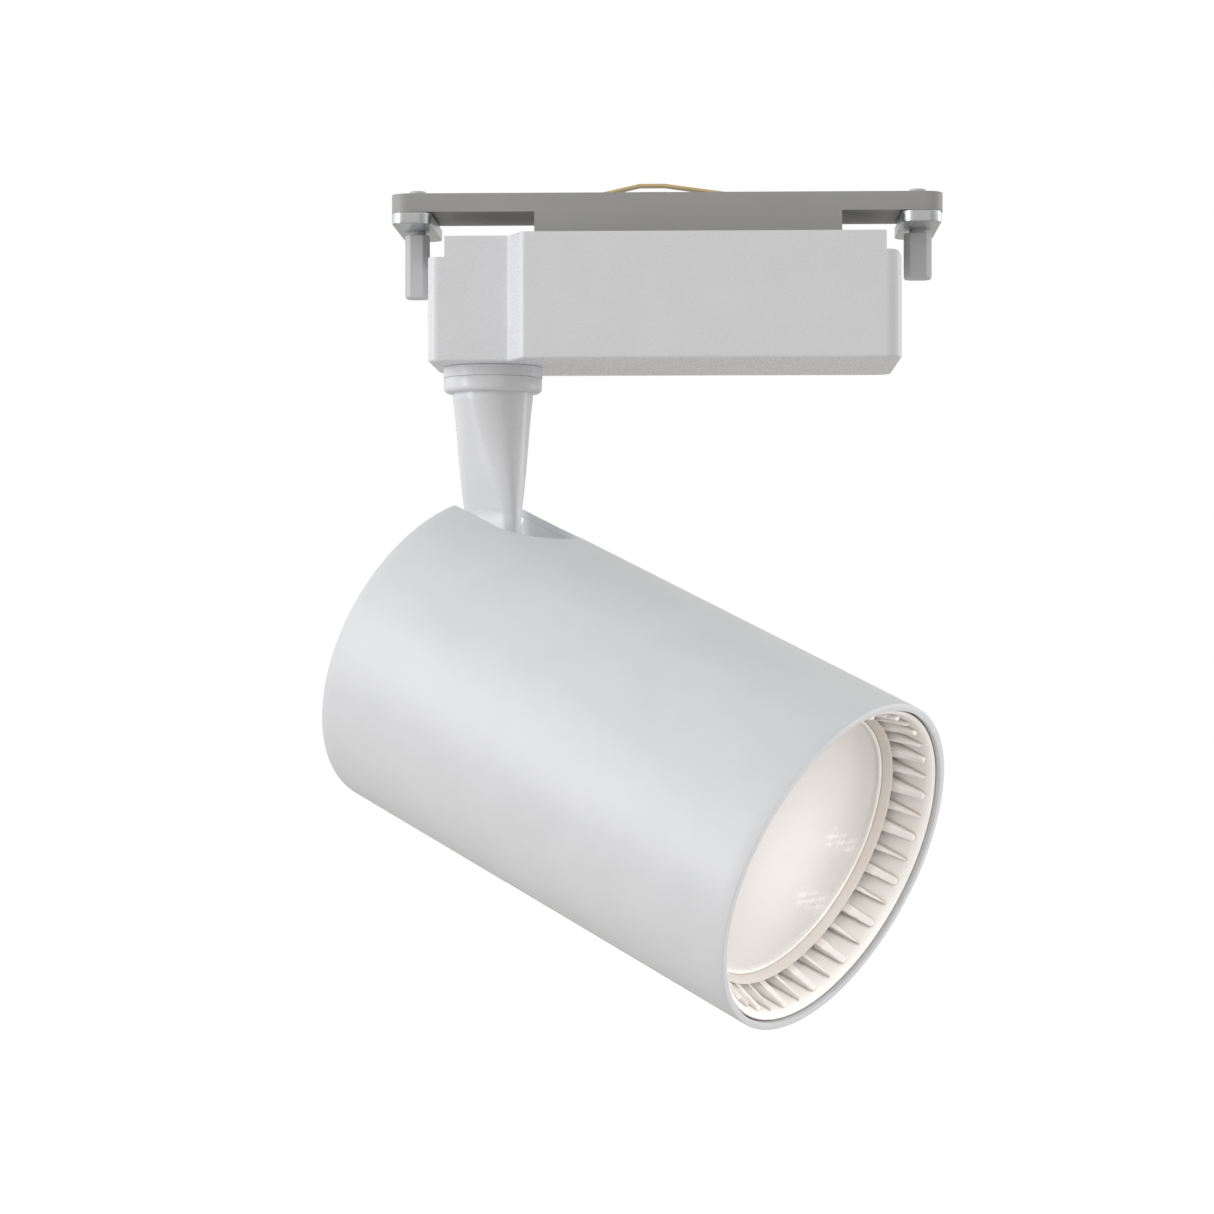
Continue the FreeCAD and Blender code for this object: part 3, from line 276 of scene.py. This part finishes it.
def new_object(name, points, faces, place):
    mesh = bpy.data.meshes.new(name)
    mesh.from_pydata([place @ Vector(p) for p in points], [], faces)
    shape = bmesh.new()
    shape.from_mesh(mesh)
    bmesh.ops.remove_doubles(shape, verts=shape.verts, dist=SAME_POINT)
    bmesh.ops.recalc_face_normals(shape, faces=shape.faces)
    shape.to_mesh(mesh)
    shape.free()
    return link(name, mesh)


def smooth(piece, angle):
    """Smooth shading with edges sharper than angle degrees kept."""
    mesh = piece.data
    mesh.polygons.foreach_set("use_smooth", [True] * len(mesh.polygons))
    mesh.set_sharp_from_angle(angle=math.radians(angle))


def grid_faces(rows, columns, skip=None):
    """Quads between neighbouring points of a grid that wraps round in its rows and its columns."""
    faces = []
    for i in range(rows):
        for j in range(columns):
            if skip and skip(i, j):
                continue
            below = (i + 1) % rows
            beside = (j + 1) % columns
            corners = ((i, j), (i, beside), (below, beside), (below, j))
            faces.append([row * columns + column for row, column in corners])
    return faces


def quarter(steps):
    """Cosine and sine of the stations of a quarter turn."""
    turns = [math.radians(90 * i / steps) for i in range(steps + 1)]
    return [(math.cos(turn), math.sin(turn)) for turn in turns]


def lathe(name, profile, turns, place):
    """A closed ring turned about x from a closed profile of (radius, x) points."""
    points = []
    for radius, x in profile:
        for j in range(turns):
            angle = 2 * math.pi * j / turns
            points.append((x, radius * math.cos(angle), radius * math.sin(angle)))
    return new_object(name, points, grid_faces(len(profile), turns), place)


def put(piece, body, finish, slot, *nodes):
    """Gives a piece its material and the body that it moves with, and hides the CAD nodes that it stands for.
    """
    piece.data.materials.clear()
    piece.data.materials.append(finish)
    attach(piece, body)
    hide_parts(*nodes)
    return piece


def start_copy(node):
    """An editable copy of a CAD node's mesh with its doubled points joined."""
    shape = bmesh.new()
    shape.from_mesh(frame["nodes"][node].data)
    bmesh.ops.remove_doubles(shape, verts=shape.verts, dist=SAME_CAD_POINT)
    return shape


def finish_copy(shape, node, ending):
    """A new object from an edited copy, without the CAD node's own shading."""
    mesh = bpy.data.meshes.new(node + ending)
    shape.to_mesh(mesh)
    shape.free()
    if "custom_normal" in mesh.attributes:
        mesh.attributes.remove(mesh.attributes["custom_normal"])
    return link(node + "_finished", mesh)


def reshaded(node, angle):
    """A copy of a CAD node that is shaded smoothly over all edges flatter than angle degrees."""
    piece = finish_copy(start_copy(node), node, "_smooth")
    smooth(piece, angle)
    return piece


def softened(node, width):
    """A copy of a CAD node with its coplanar triangles joined and its sharp edges rounded."""
    shape = start_copy(node)
    flat = math.radians(FLAT_ANGLE)
    bmesh.ops.dissolve_limit(shape, angle_limit=flat, verts=shape.verts, edges=shape.edges)
    sharp = math.radians(SHARP_ANGLE)
    edges = [edge for edge in shape.edges if edge.is_manifold and edge.calc_face_angle() > sharp]
    bmesh.ops.bevel(shape, geom=edges, offset=width * MM, offset_type="OFFSET", segments=ROUND_SEGMENTS,
                    profile=0.5, affect="EDGES", clamp_overlap=False)
    piece = finish_copy(shape, node, "_soft")
    smooth(piece, CREASE)
    weights = piece.modifiers.new("face_weights", "WEIGHTED_NORMAL")
    weights.keep_sharp = True
    return piece


# Lamp tube

def rear_edge(inset):
    """Half of the tube's rear edge, from the slot's nose to the bottom, moved inwards by inset.

    Each point of the slot is (x, lateral distance, None). Each point of the straight edge behind it is
    (x, None, share of the way from the slot to the bottom).
    """
    half = SLOT_HALF_WIDTH + inset
    corner = SLOT_CORNER - inset
    corner_x = REAR + SLOT_CORNER
    points = [(SLOT_CENTRE + half * cos, half * sin, None) for cos, sin in quarter(NOSE_STEPS)]
    for i in range(1, SIDE_STEPS):
        points.append((SLOT_CENTRE + (corner_x - SLOT_CENTRE) * i / SIDE_STEPS, half, None))
    for cos, sin in quarter(CORNER_STEPS):
        points.append((corner_x - corner * sin, SLOT_HALF_WIDTH + SLOT_CORNER - corner * cos, None))
    for i in range(1, REAR_STEPS + 1):
        points.append((REAR + inset, None, i / REAR_STEPS))
    return points


def rear_loop(inset, radius):
    """The whole rear edge on a cylinder of this radius, as (x, angle from the top) points."""
    half = []
    start = math.asin((SLOT_HALF_WIDTH + SLOT_CORNER) / radius)
    for x, lateral, share in rear_edge(inset):
        angle = start + (math.pi - start) * share if lateral is None else math.asin(lateral / radius)
        half.append((x, angle))
    return half + [(x, -angle) for x, angle in half[-2:0:-1]]


def on_tube(x, angle, radius):
    return (x, radius * math.sin(angle), radius * math.cos(angle))


def tube_wall(radius, inset):
    """Rows of points from the rear edge to the front rim, evenly spread round the tube once past the slot."""
    start = rear_loop(inset, radius)
    count = len(start)
    rows = []
    for k in range(TUBE_ROWS + 1):
        share = k / TUBE_ROWS
        settled = min(share / SETTLE_SHARE, 1.0)
        ease = settled * settled * (3 - 2 * settled)
        row = []
        for j, (x, angle) in enumerate(start):
            even = 2 * math.pi * j / count
            even = even if even <= math.pi + 1e-9 else even - 2 * math.pi
            at = x + (FRONT - inset - x) * share
            row.append(on_tube(at, angle + (even - angle) * ease, radius))
        rows.append(row)
    return rows


def rounded_lip():
    """Insets and radii across the wall's edge, from the outer to the inner face over both rounded corners."""
    outer = []
    inner = []
    for cos, sin in quarter(LIP_STEPS):
        outer.append((EDGE_ROUND * (1 - sin), TUBE_RADIUS - EDGE_ROUND * (1 - cos)))
        inner.append((INNER_ROUND * (1 - cos), TUBE_BORE + INNER_ROUND * (1 - sin)))
    return outer + inner


def lamp_tube():
    """The tube with its U-shaped slot at the top rear and rounded edges at both ends."""
    outer = tube_wall(TUBE_RADIUS, EDGE_ROUND)
    inner = tube_wall(TUBE_BORE, INNER_ROUND)
    lip = rounded_lip()[1:-1]
    count = len(outer[0])
    front = []
    for inset, radius in lip:
        front.append([on_tube(FRONT - inset, 2 * math.pi * j / count, radius) for j in range(count)])
    rear = []
    for inset, radius in reversed(lip):
        rear.append([on_tube(x, angle, radius) for x, angle in rear_loop(inset, radius)])
    rows = outer + front + inner[::-1] + rear
    points = [p for row in rows for p in row]
    piece = new_object("lamp_tube_shell", points, grid_faces(len(rows), count), HEAD)
    smooth(piece, TUBE_CREASE)
    return piece


# Front casting

Column = namedtuple("Column", "angle offset height widths in_rib")


def casting_columns():
    """The stations round the casting: a section over each rib and three stations in each gap."""
    columns = []
    for i in range(RIB_COUNT):
        widths = NARROW_RIB if i % 2 else WIDE_RIB
        centre = math.radians(RIB_START + RIB_PITCH * i)
        for offset, height in RIB_SECTION:
            columns.append(Column(centre, offset, height, widths, (offset, height) != RIB_SECTION[-1]))
        for share in GAP_SHARES:
            columns.append(Column(centre + math.radians(RIB_PITCH * share), None, 0, widths, False))
    return columns


def rib_line(share):
    """A point (radius, depth) on a rib's front edge, from its tip at 0 to the band at 1."""
    radius = RIB_TIP[0] + (RIB_HEEL[0] - RIB_TIP[0]) * share
    depth = RIB_TIP[1] + (RIB_HEEL[1] - RIB_TIP[1]) * share
    rise = RIB_RISE * math.sqrt(min(share / RISE_SHARE, 1.0)) * (1 - share)
    return radius - rise * RISE_DIRECTION[0], depth - rise * RISE_DIRECTION[1]


def rib_half_width(share, widths):
    """A rib's half width along its length, closed at the tip by a round nose or, on a narrow rib, a point."""
    narrow, wide = widths
    pointed = widths is NARROW_RIB
    body = narrow + (wide - narrow) * share
    reach = share * RIB_LENGTH
    nose = POINTED_NOSE if pointed else narrow * ROUND_NOSE
    if reach >= nose:
        return body
    left = reach / nose
    return body * (left if pointed else math.sqrt(max(left * (2 - left), 0.0))) + LEAST_HALF_WIDTH


def ring_row(radius, depth, columns):
    """A row of (radius, depth, angle) points on one circle."""
    row = []
    for column in columns:
        shift = 0.0 if column.offset is None else math.asin(column.offset * column.widths[1] / radius)
        row.append((radius, depth, column.angle + shift))
    return row


def wall_row(radius, depth, share, columns):
    """A row of (radius, depth, angle) points that follows a wall in the gaps and goes over the ribs."""
    top_radius, top_depth = rib_line(share)
    row = []
    for column in columns:
        at = radius + (top_radius - radius) * column.height
        deep = depth + (top_depth - depth) * column.height
        half = rib_half_width(share, column.widths)
        shift = 0.0 if column.offset is None else math.asin(column.offset * half / at)
        row.append((at, deep, column.angle + shift))
    return row


def front_casting():
    """Outer ring, forty ribs and the band round the lens, with open gaps between the ribs."""
    columns = casting_columns()
    rows = [ring_row(radius, depth, columns) for radius, depth in CASTING_LIP]
    for (radius, depth), share in zip(OUTER_WALL + INNER_WALL, RIB_SHARES):
        rows.append(wall_row(radius, depth, share, columns))
    for radius, depth in BAND + [INNER_WALL[0], OUTER_WALL[-1]]:
        rows.append(ring_row(radius, depth, columns))
    open_rows = (len(CASTING_LIP) + len(OUTER_WALL) - 1, len(rows) - 2)

    def skip(i, j):
        return i in open_rows and not columns[j].in_rib

    points = []
    for row in rows:
        for radius, depth, angle in row:
            points.append((FRONT - depth, radius * math.cos(angle), radius * math.sin(angle)))
    piece = new_object("front_casting", points, grid_faces(len(rows), len(columns), skip), HEAD)
    smooth(piece, CASTING_CREASE)
    return piece


# Lens, swivel collar, rear cap and tube screw

def lens_dome():
    """The lens, a disc with a slightly domed front."""
    front = FRONT - LENS_DEPTH
    back = front - LENS_THICK
    profile = [(0.0, back), (LENS_RADIUS - LENS_CHAMFER, back), (LENS_RADIUS, back + LENS_CHAMFER)]
    profile.append((LENS_RADIUS, front - LENS_EDGE))
    for i in range(LENS_STEPS + 1):
        radius = LENS_RADIUS * (1 - i / LENS_STEPS)
        profile.append((radius, front + LENS_CROWN * (1 - (radius / LENS_RADIUS) ** 2)))
    piece = lathe("lens_dome", profile, LENS_TURNS, HEAD)
    smooth(piece, CREASE)
    return piece


def swivel_collar():
    """The collar under the bush, with a fine seam above it and a rounded lower edge."""
    low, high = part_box("swivel_collar")
    radius = high.x / MM
    bottom = low.z / MM
    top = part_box("swivel_bush")[0].z / MM - COLLAR_SEAM
    profile = [(SWIVEL_TUBE, bottom)]
    for cos, sin in quarter(COLLAR_STEPS):
        profile.append((radius - COLLAR_ROUND * (1 - sin), bottom + COLLAR_ROUND * (1 - cos)))
    shoulder = 0.3 * COLLAR_EDGE
    profile += [(radius, top - COLLAR_EDGE), (radius - shoulder, top - shoulder)]
    profile += [(radius - COLLAR_EDGE, top), (SWIVEL_TUBE, top)]
    piece = lathe("swivel_collar_ring", profile, COLLAR_TURNS, UPRIGHT)
    smooth(piece, CREASE)
    return piece


def rear_cap():
    """The rear cap, with the top of its pocket wall brought up to the inside of the tube."""
    piece = reshaded("rear_cap", CAP_CREASE)
    start = along_aim("rear_cap")[0] + POCKET_START
    for vertex in piece.data.vertices:
        along = (vertex.co - PIVOT).dot(AIM)
        outward = vertex.co - PIVOT - AIM * along
        beside_pocket = abs(outward.dot(SIDE)) / MM < POCKET_HALF_WIDTH
        if outward.length > POCKET_TOP * MM and (along / MM > start or beside_pocket):
            vertex.co = PIVOT + AIM * along + outward.normalized() * ((TUBE_BORE - POCKET_GAP) * MM)
    smooth(piece, CAP_CREASE)
    return piece


def tube_screw():
    """The tube screw, with its head a little proud of the tube."""
    piece = softened("tube_screw", SCREW_ROUND)
    low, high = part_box("tube_screw")
    outward = (low + high) / 2 - PIVOT
    outward = (outward - AIM * outward.dot(AIM)).normalized()
    for vertex in piece.data.vertices:
        if (vertex.co - PIVOT).cross(AIM).length > TUBE_BORE * MM:
            vertex.co += outward * (SCREW_RISE * MM)
    return piece


# Materials

def new_material(name):
    mat = bpy.data.materials.new(name)
    mat.use_nodes = True
    return mat, mat.node_tree.nodes, mat.node_tree.links, mat.node_tree.nodes["Principled BSDF"]


def own_place(nodes):
    """The place on the object in its own coordinates, which don't change when it moves."""
    return nodes.new("ShaderNodeTexCoord").outputs["Object"]


def feed(links, value, socket):
    """Links a socket to another one, or sets it to a constant."""
    if isinstance(value, bpy.types.NodeSocket):
        links.new(value, socket)
    else:
        socket.default_value = value


def number_math(nodes, links, operation, *values):
    node = nodes.new("ShaderNodeMath")
    node.operation = operation
    for value, socket in zip(values, node.inputs):
        feed(links, value, socket)
    return node.outputs["Value"]


def vector_math(nodes, links, operation, *values):
    node = nodes.new("ShaderNodeVectorMath")
    node.operation = operation
    for value, socket in zip(values, node.inputs):
        feed(links, value, socket)
    gives_number = operation in ("DOT_PRODUCT", "DISTANCE", "LENGTH")
    return node.outputs["Value" if gives_number else "Vector"]


def noise(nodes, links, size, detail=3.0):
    """Noise whose features are about size millimetres, in the object's own coordinates."""
    texture = nodes.new("ShaderNodeTexNoise")
    texture.inputs["Scale"].default_value = 1 / (size * MM)
    texture.inputs["Detail"].default_value = detail
    links.new(own_place(nodes), texture.inputs["Vector"])
    return texture.outputs["Fac"]


def fade(nodes, links, source, low, high, start=0.3, end=0.7):
    """A value that goes from low to high as source goes from start to end."""
    node = nodes.new("ShaderNodeMapRange")
    for value, socket in zip((source, start, end, low, high), node.inputs):
        feed(links, value, socket)
    return node.outputs["Result"]


def tint(nodes, links, source, low, high, start=0.3, end=0.7):
    """A colour that goes from low to high as source goes from start to end."""
    node = nodes.new("ShaderNodeValToRGB")
    ends = node.color_ramp.elements
    for element, position, colour in zip(ends, (start, end), (low, high)):
        element.position = position
        element.color = (*colour, 1)
    links.new(source, node.inputs["Fac"])
    return node.outputs["Color"]


def add_bump(nodes, links, shader, height, depth):
    """Bump of this depth in millimetres."""
    bump = nodes.new("ShaderNodeBump")
    bump.inputs["Distance"].default_value = depth * MM
    bump.inputs["Strength"].default_value = 1.0
    links.new(height, bump.inputs["Height"])
    links.new(bump.outputs["Normal"], shader.inputs["Normal"])


def shade(colour, factor):
    return tuple(c * factor for c in colour)


def surface(name, colour, rough, grain, depth, mottle=0.03, metal=0.0, coat=0.0, spread=0.05):
    """A finish with fine grain of this size and depth in millimetres, and a slow drift in its colour.

    The roughness varies with the grain by spread on both sides.
    """
    mat, nodes, links, shader = new_material(name)
    slow = noise(nodes, links, DRIFT_SIZE, 2.0)
    fine = noise(nodes, links, grain)
    links.new(tint(nodes, links, slow, shade(colour, 1 - mottle), colour), shader.inputs["Base Color"])
    links.new(fade(nodes, links, fine, rough - spread, rough + spread), shader.inputs["Roughness"])
    add_bump(nodes, links, shader, fine, depth)
    shader.inputs["Metallic"].default_value = metal
    shader.inputs["Coat Weight"].default_value = coat
    shader.inputs["Coat Roughness"].default_value = COAT_ROUGH
    shader.inputs["Specular IOR Level"].default_value = SPECULAR
    return mat


def casting_material(name, *look):
    """Warm white casting, with painted shade on the band round the lens and painted shade in its creases."""
    mat = surface(name, *look)
    nodes = mat.node_tree.nodes
    links = mat.node_tree.links
    base = nodes["Principled BSDF"].inputs["Base Color"]
    drift = base.links[0].from_socket
    from_pivot = vector_math(nodes, links, "SUBTRACT", own_place(nodes), PIVOT)
    across = vector_math(nodes, links, "CROSS_PRODUCT", from_pivot, AIM)
    radius = vector_math(nodes, links, "LENGTH", across)
    # Painted shade: the band round the lens is darkened, fading out between the two radii of BAND_SHADE
    mix = nodes.new("ShaderNodeMix")
    mix.data_type = "RGBA"
    mix.inputs["A"].default_value = (*BAND_PAINTED_SHADE, 1)
    start, end = BAND_SHADE
    links.new(fade(nodes, links, radius, 0.0, 1.0, start * MM, end * MM), mix.inputs["Factor"])
    links.new(drift, mix.inputs["B"])
    # Painted shade in creases: occlusion within CREASE_REACH darkens the colour towards a warm brown
    crease = nodes.new("ShaderNodeAmbientOcclusion")
    crease.inputs["Distance"].default_value = CREASE_REACH * MM
    crease_painted_shade = tint(nodes, links, crease.outputs["AO"], CREASE_PAINTED_SHADE, (1.0, 1.0, 1.0), *CREASE_RANGE)
    links.new(vector_math(nodes, links, "MULTIPLY", mix.outputs["Result"], crease_painted_shade), base)
    return mat


def diamond_mask(nodes, links, place, centre):
    """1 on every second diamond of the lens near the facet spots, and 0 elsewhere."""
    from_centre = vector_math(nodes, links, "SUBTRACT", place, centre)
    flat = nodes.new("ShaderNodeCombineXYZ")
    for i, direction in enumerate(((SIDE + UP).normalized(), (SIDE - UP).normalized())):
        links.new(vector_math(nodes, links, "DOT_PRODUCT", from_centre, direction), flat.inputs[i])
    diamonds = nodes.new("ShaderNodeTexChecker")
    diamonds.inputs["Scale"].default_value = 1 / (FACET_SIZE * MM)
    links.new(flat.outputs["Vector"], diamonds.inputs["Vector"])
    reach = FACET_REACH * MM
    near = 0.0
    for side, up in FACET_SPOTS:
        spot = centre + SIDE * (side * MM) + UP * (up * MM)
        away = vector_math(nodes, links, "DISTANCE", place, spot)
        inside = fade(nodes, links, away, 1.0, 0.0, 0.5 * reach, reach)
        near = number_math(nodes, links, "ADD", near, inside)
    return number_math(nodes, links, "MULTIPLY", diamonds.outputs["Fac"], near)


def lens_material(name, *look):
    """Satin lens: milky, with a painted glow brightest a little below its centre, and painted highlights on
    every second diamond in two faint strings.
    """
    mat = surface(name, *look)
    nodes = mat.node_tree.nodes
    links = mat.node_tree.links
    shader = nodes["Principled BSDF"]
    centre = PIVOT + AIM * ((FRONT - LENS_DEPTH) * MM)
    place = own_place(nodes)
    # Painted glow: emission brightest GLOW_DROP below the centre, fading towards the rim
    away = vector_math(nodes, links, "DISTANCE", place, centre - UP * (GLOW_DROP * MM))
    reach = LENS_RADIUS * MM
    glow = fade(nodes, links, away, LENS_PAINTED_GLOW, LENS_PAINTED_GLOW * GLOW_EDGE, GLOW_START * reach, reach)
    # Painted highlights: emission on every second diamond near the facet spots
    lit = diamond_mask(nodes, links, place, centre)
    strength = number_math(nodes, links, "MULTIPLY_ADD", lit, FACET_PAINTED_HIGHLIGHT, glow)
    links.new(strength, shader.inputs["Emission Strength"])
    shader.inputs["Emission Color"].default_value = GLOW_COLOUR
    return mat


# The finish of each slot: material name, colour, roughness, size and depth of the grain, and mottling
finishes = {
    "lamp_white": surface("powder_coat_white", WHITE_PAINT, 0.36, 0.55, 0.006),
    "housing_white": surface("moulded_white", (0.82, 0.83, 0.865), 0.28, 0.28, 0.0015),
    "bush_white": surface("moulded_bush_white", (0.76, 0.77, 0.80), 0.30, 0.9, 0.001, spread=0.015),
    "baffle_white": casting_material("casting_warm_white", CASTING_WHITE, 0.5, 0.4, 0.004),
    "ring_white": surface("ring_satin_white", (0.88, 0.86, 0.83), 0.3, 0.3, 0.002),
    "lens_satin": lens_material("lens_satin", (0.79, 0.76, 0.74), 0.34, 1.4, 0.0004, 0.01),
    "latch_grey": surface("latch_plastic", (0.62, 0.62, 0.64), 0.45, 0.3, 0.006),
    # Cover plastic: its own grey, darkened partly as painted shade
    "cover_grey": surface("cover_plastic", (0.40, 0.40, 0.40), 0.45, 0.3, 0.006),
    "reflector_silver": surface("reflector_silver", (0.88, 0.88, 0.88), 0.16, 1.6, 0.02, metal=1.0),
    "bare_aluminium": surface("die_cast_aluminium", (0.62, 0.63, 0.64), 0.42, 0.5, 0.02, metal=1.0),
    "zinc_steel": surface("zinc_plate", (0.66, 0.68, 0.70), 0.3, 0.6, 0.004, 0.08, metal=1.0),
    "contact_brass": surface("contact_brass", (0.80, 0.61, 0.30), 0.24, 0.4, 0.003, 0.08, metal=1.0),
    "copper_wire": surface("enamelled_copper", (0.60, 0.25, 0.09), 0.3, 0.3, 0.02, 0.15, metal=0.8),
    "ferrite": surface("ferrite", (0.05, 0.05, 0.055), 0.55, 0.2, 0.01, 0.2),
    "board_green": surface("solder_mask", (0.02, 0.16, 0.07), 0.3, 0.8, 0.01, 0.25, coat=0.5),
    "capacitor_sleeve": surface("capacitor_sleeve", (0.03, 0.04, 0.06), 0.3, 1.2, 0.006, 0.1),
    "chip_black": surface("moulding_compound", (0.025, 0.025, 0.027), 0.6, 0.15, 0.008, 0.1),
    "terminal_nylon": surface("terminal_nylon", (0.70, 0.72, 0.70), 0.45, 0.3, 0.006),
    "insulating_film": surface("insulating_film", (0.75, 0.76, 0.74), 0.25, 4.0, 0.03),
    "lead_insulation": surface("lead_silicone", (0.75, 0.74, 0.72), 0.4, 0.6, 0.01),
    "friction_polymer": surface("friction_polymer", (0.78, 0.76, 0.68), 0.4, 0.4, 0.005),
    "grommet_rubber": surface("grommet_rubber", (0.05, 0.05, 0.05), 0.65, 0.3, 0.01, 0.1),
    "thermal_grey": surface("thermal_pad", (0.42, 0.45, 0.5), 0.7, 0.3, 0.02, 0.1),
    "led_board_white": surface("led_board_white", (0.85, 0.85, 0.83), 0.35, 0.5, 0.004),
    "led_ceramic": surface("led_ceramic", (0.86, 0.85, 0.82), 0.4, 0.3, 0.004),
    "phosphor": surface("phosphor", (0.85, 0.62, 0.12), 0.35, 0.5, 0.01),
    "holder_white": surface("holder_white", (0.84, 0.84, 0.82), 0.45, 0.3, 0.005),
}
stem_paint = surface("stem_gloss_white", WHITE_PAINT, 0.24, 0.55, 0.003)

node_slots = {}
for node, piece in frame["nodes"].items():
    node_slots[node] = piece.data.materials[0].name
    piece.data.materials[0] = finishes[node_slots[node]]

tube = put(lamp_tube(), "head", finishes["lamp_white"], "lamp_white", "lamp_tube")
casting = put(front_casting(), "head", finishes["baffle_white"], "baffle_white", "front_baffle")
put(lens_dome(), "head", finishes["lens_satin"], "lens_satin", "lens")
put(swivel_collar(), "stem", stem_paint, "lamp_white", "swivel_collar")
put(rear_cap(), "head", finishes["lamp_white"], "lamp_white", "rear_cap")
put(reshaded("stem", STEM_CREASE), "stem", stem_paint, "lamp_white", "stem")
put(tube_screw(), "head", finishes[node_slots["tube_screw"]], node_slots["tube_screw"], "tube_screw")
for node, width in ROUNDED.items():
    slot_name = node_slots[node]
    put(softened(node, width), frame["nodes"][node]["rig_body"], finishes[slot_name], slot_name, node)


# Studio

def area_light(name, at, towards, width, height, power, colour):
    light = bpy.data.lights.new(name, "AREA")
    light.shape = "RECTANGLE"
    light.size = width
    light.size_y = height
    light.energy = power
    light.color = colour
    lamp = link(name, light)
    lamp.location = at
    lamp.rotation_euler = (Vector(towards) - Vector(at)).to_track_quat("-Z", "Y").to_euler()
    return lamp


def light_only(lamp, name, pieces):
    """Keeps a lamp's light to these pieces."""
    receivers = bpy.data.collections.new(name)
    for piece in pieces:
        receivers.objects.link(piece)
    lamp.light_linking.receiver_collection = receivers


def sky(nodes, links):
    """The light from each side: the even base and the lobes."""
    place = nodes.new("ShaderNodeTexCoord").outputs["Generated"]
    total = SKY_BASE
    for direction, start, colour in SKY:
        towards = vector_math(nodes, links, "DOT_PRODUCT", place, Vector(direction).normalized())
        part = nodes.new("ShaderNodeMapRange")
        part.interpolation_type = "SMOOTHSTEP"
        part.inputs["From Min"].default_value = start
        part.inputs["From Max"].default_value = 1.0
        links.new(towards, part.inputs["Value"])
        total = vector_math(nodes, links, "MULTIPLY_ADD", part.outputs["Result"], colour, total)
    return total


def world():
    """White to the camera and a softer, directional light to the object."""
    studio = bpy.data.worlds.new("studio")
    bpy.context.scene.world = studio
    studio.use_nodes = True
    nodes = studio.node_tree.nodes
    links = studio.node_tree.links
    nodes.clear()
    out = nodes.new("ShaderNodeOutputWorld")
    seen = nodes.new("ShaderNodeBackground")
    seen.inputs["Color"].default_value = (1, 1, 1, 1)
    lit = nodes.new("ShaderNodeBackground")
    links.new(sky(nodes, links), lit.inputs["Color"])
    path = nodes.new("ShaderNodeLightPath")
    mix = nodes.new("ShaderNodeMixShader")
    links.new(path.outputs["Is Camera Ray"], mix.inputs["Fac"])
    links.new(lit.outputs["Background"], mix.inputs[1])
    links.new(seen.outputs["Background"], mix.inputs[2])
    links.new(mix.outputs["Shader"], out.inputs["Surface"])


def floor():
    """A plain pale floor well below the hanging lamp."""
    mesh = bpy.data.meshes.new("studio_floor")
    ends = (-FLOOR_HALF_WIDTH, FLOOR_HALF_WIDTH)
    corners = [(ends[i], ends[j], FLOOR_HEIGHT) for i, j in ((0, 0), (1, 0), (1, 1), (0, 1))]
    mesh.from_pydata(corners, [], [(0, 1, 2, 3)])
    piece = link("studio_floor", mesh)
    mat, nodes, links, shader = new_material("floor_paper")
    paper = tint(nodes, links, noise(nodes, links, FLOOR_GRAIN), FLOOR_DARK, FLOOR_PALE)
    links.new(paper, shader.inputs["Base Color"])
    shader.inputs["Roughness"].default_value = FLOOR_ROUGH
    path = nodes.new("ShaderNodeLightPath")
    glow = number_math(nodes, links, "MULTIPLY", path.outputs["Is Camera Ray"], FLOOR_GLOW)
    shader.inputs["Emission Color"].default_value = (1, 1, 1, 1)
    links.new(glow, shader.inputs["Emission Strength"])
    mesh.materials.append(mat)


def camera():
    data = bpy.data.cameras.new("camera")
    data.lens = CAMERA_LENS
    data.sensor_width = CAMERA_SENSOR
    data.clip_start = 0.01
    view = link("camera", data)
    view.location = CAMERA_PLACE
    view.rotation_euler = Vector(CAMERA_AIM).to_track_quat("-Z", "Y").to_euler()
    bpy.context.scene.camera = view


camera()
world()
floor()
area_light("key_left", *KEY_LIGHT)
area_light("rim_right", *RIM_LIGHT)
light_only(area_light("mouth_fill", *MOUTH_LIGHT), "mouth_pieces", (casting, frame["nodes"]["lens_ring"]))
light_only(area_light("edge_fill", *EDGE_LIGHT), "edge_pieces", (tube,))
bpy.context.scene.view_settings.view_transform = "Standard"
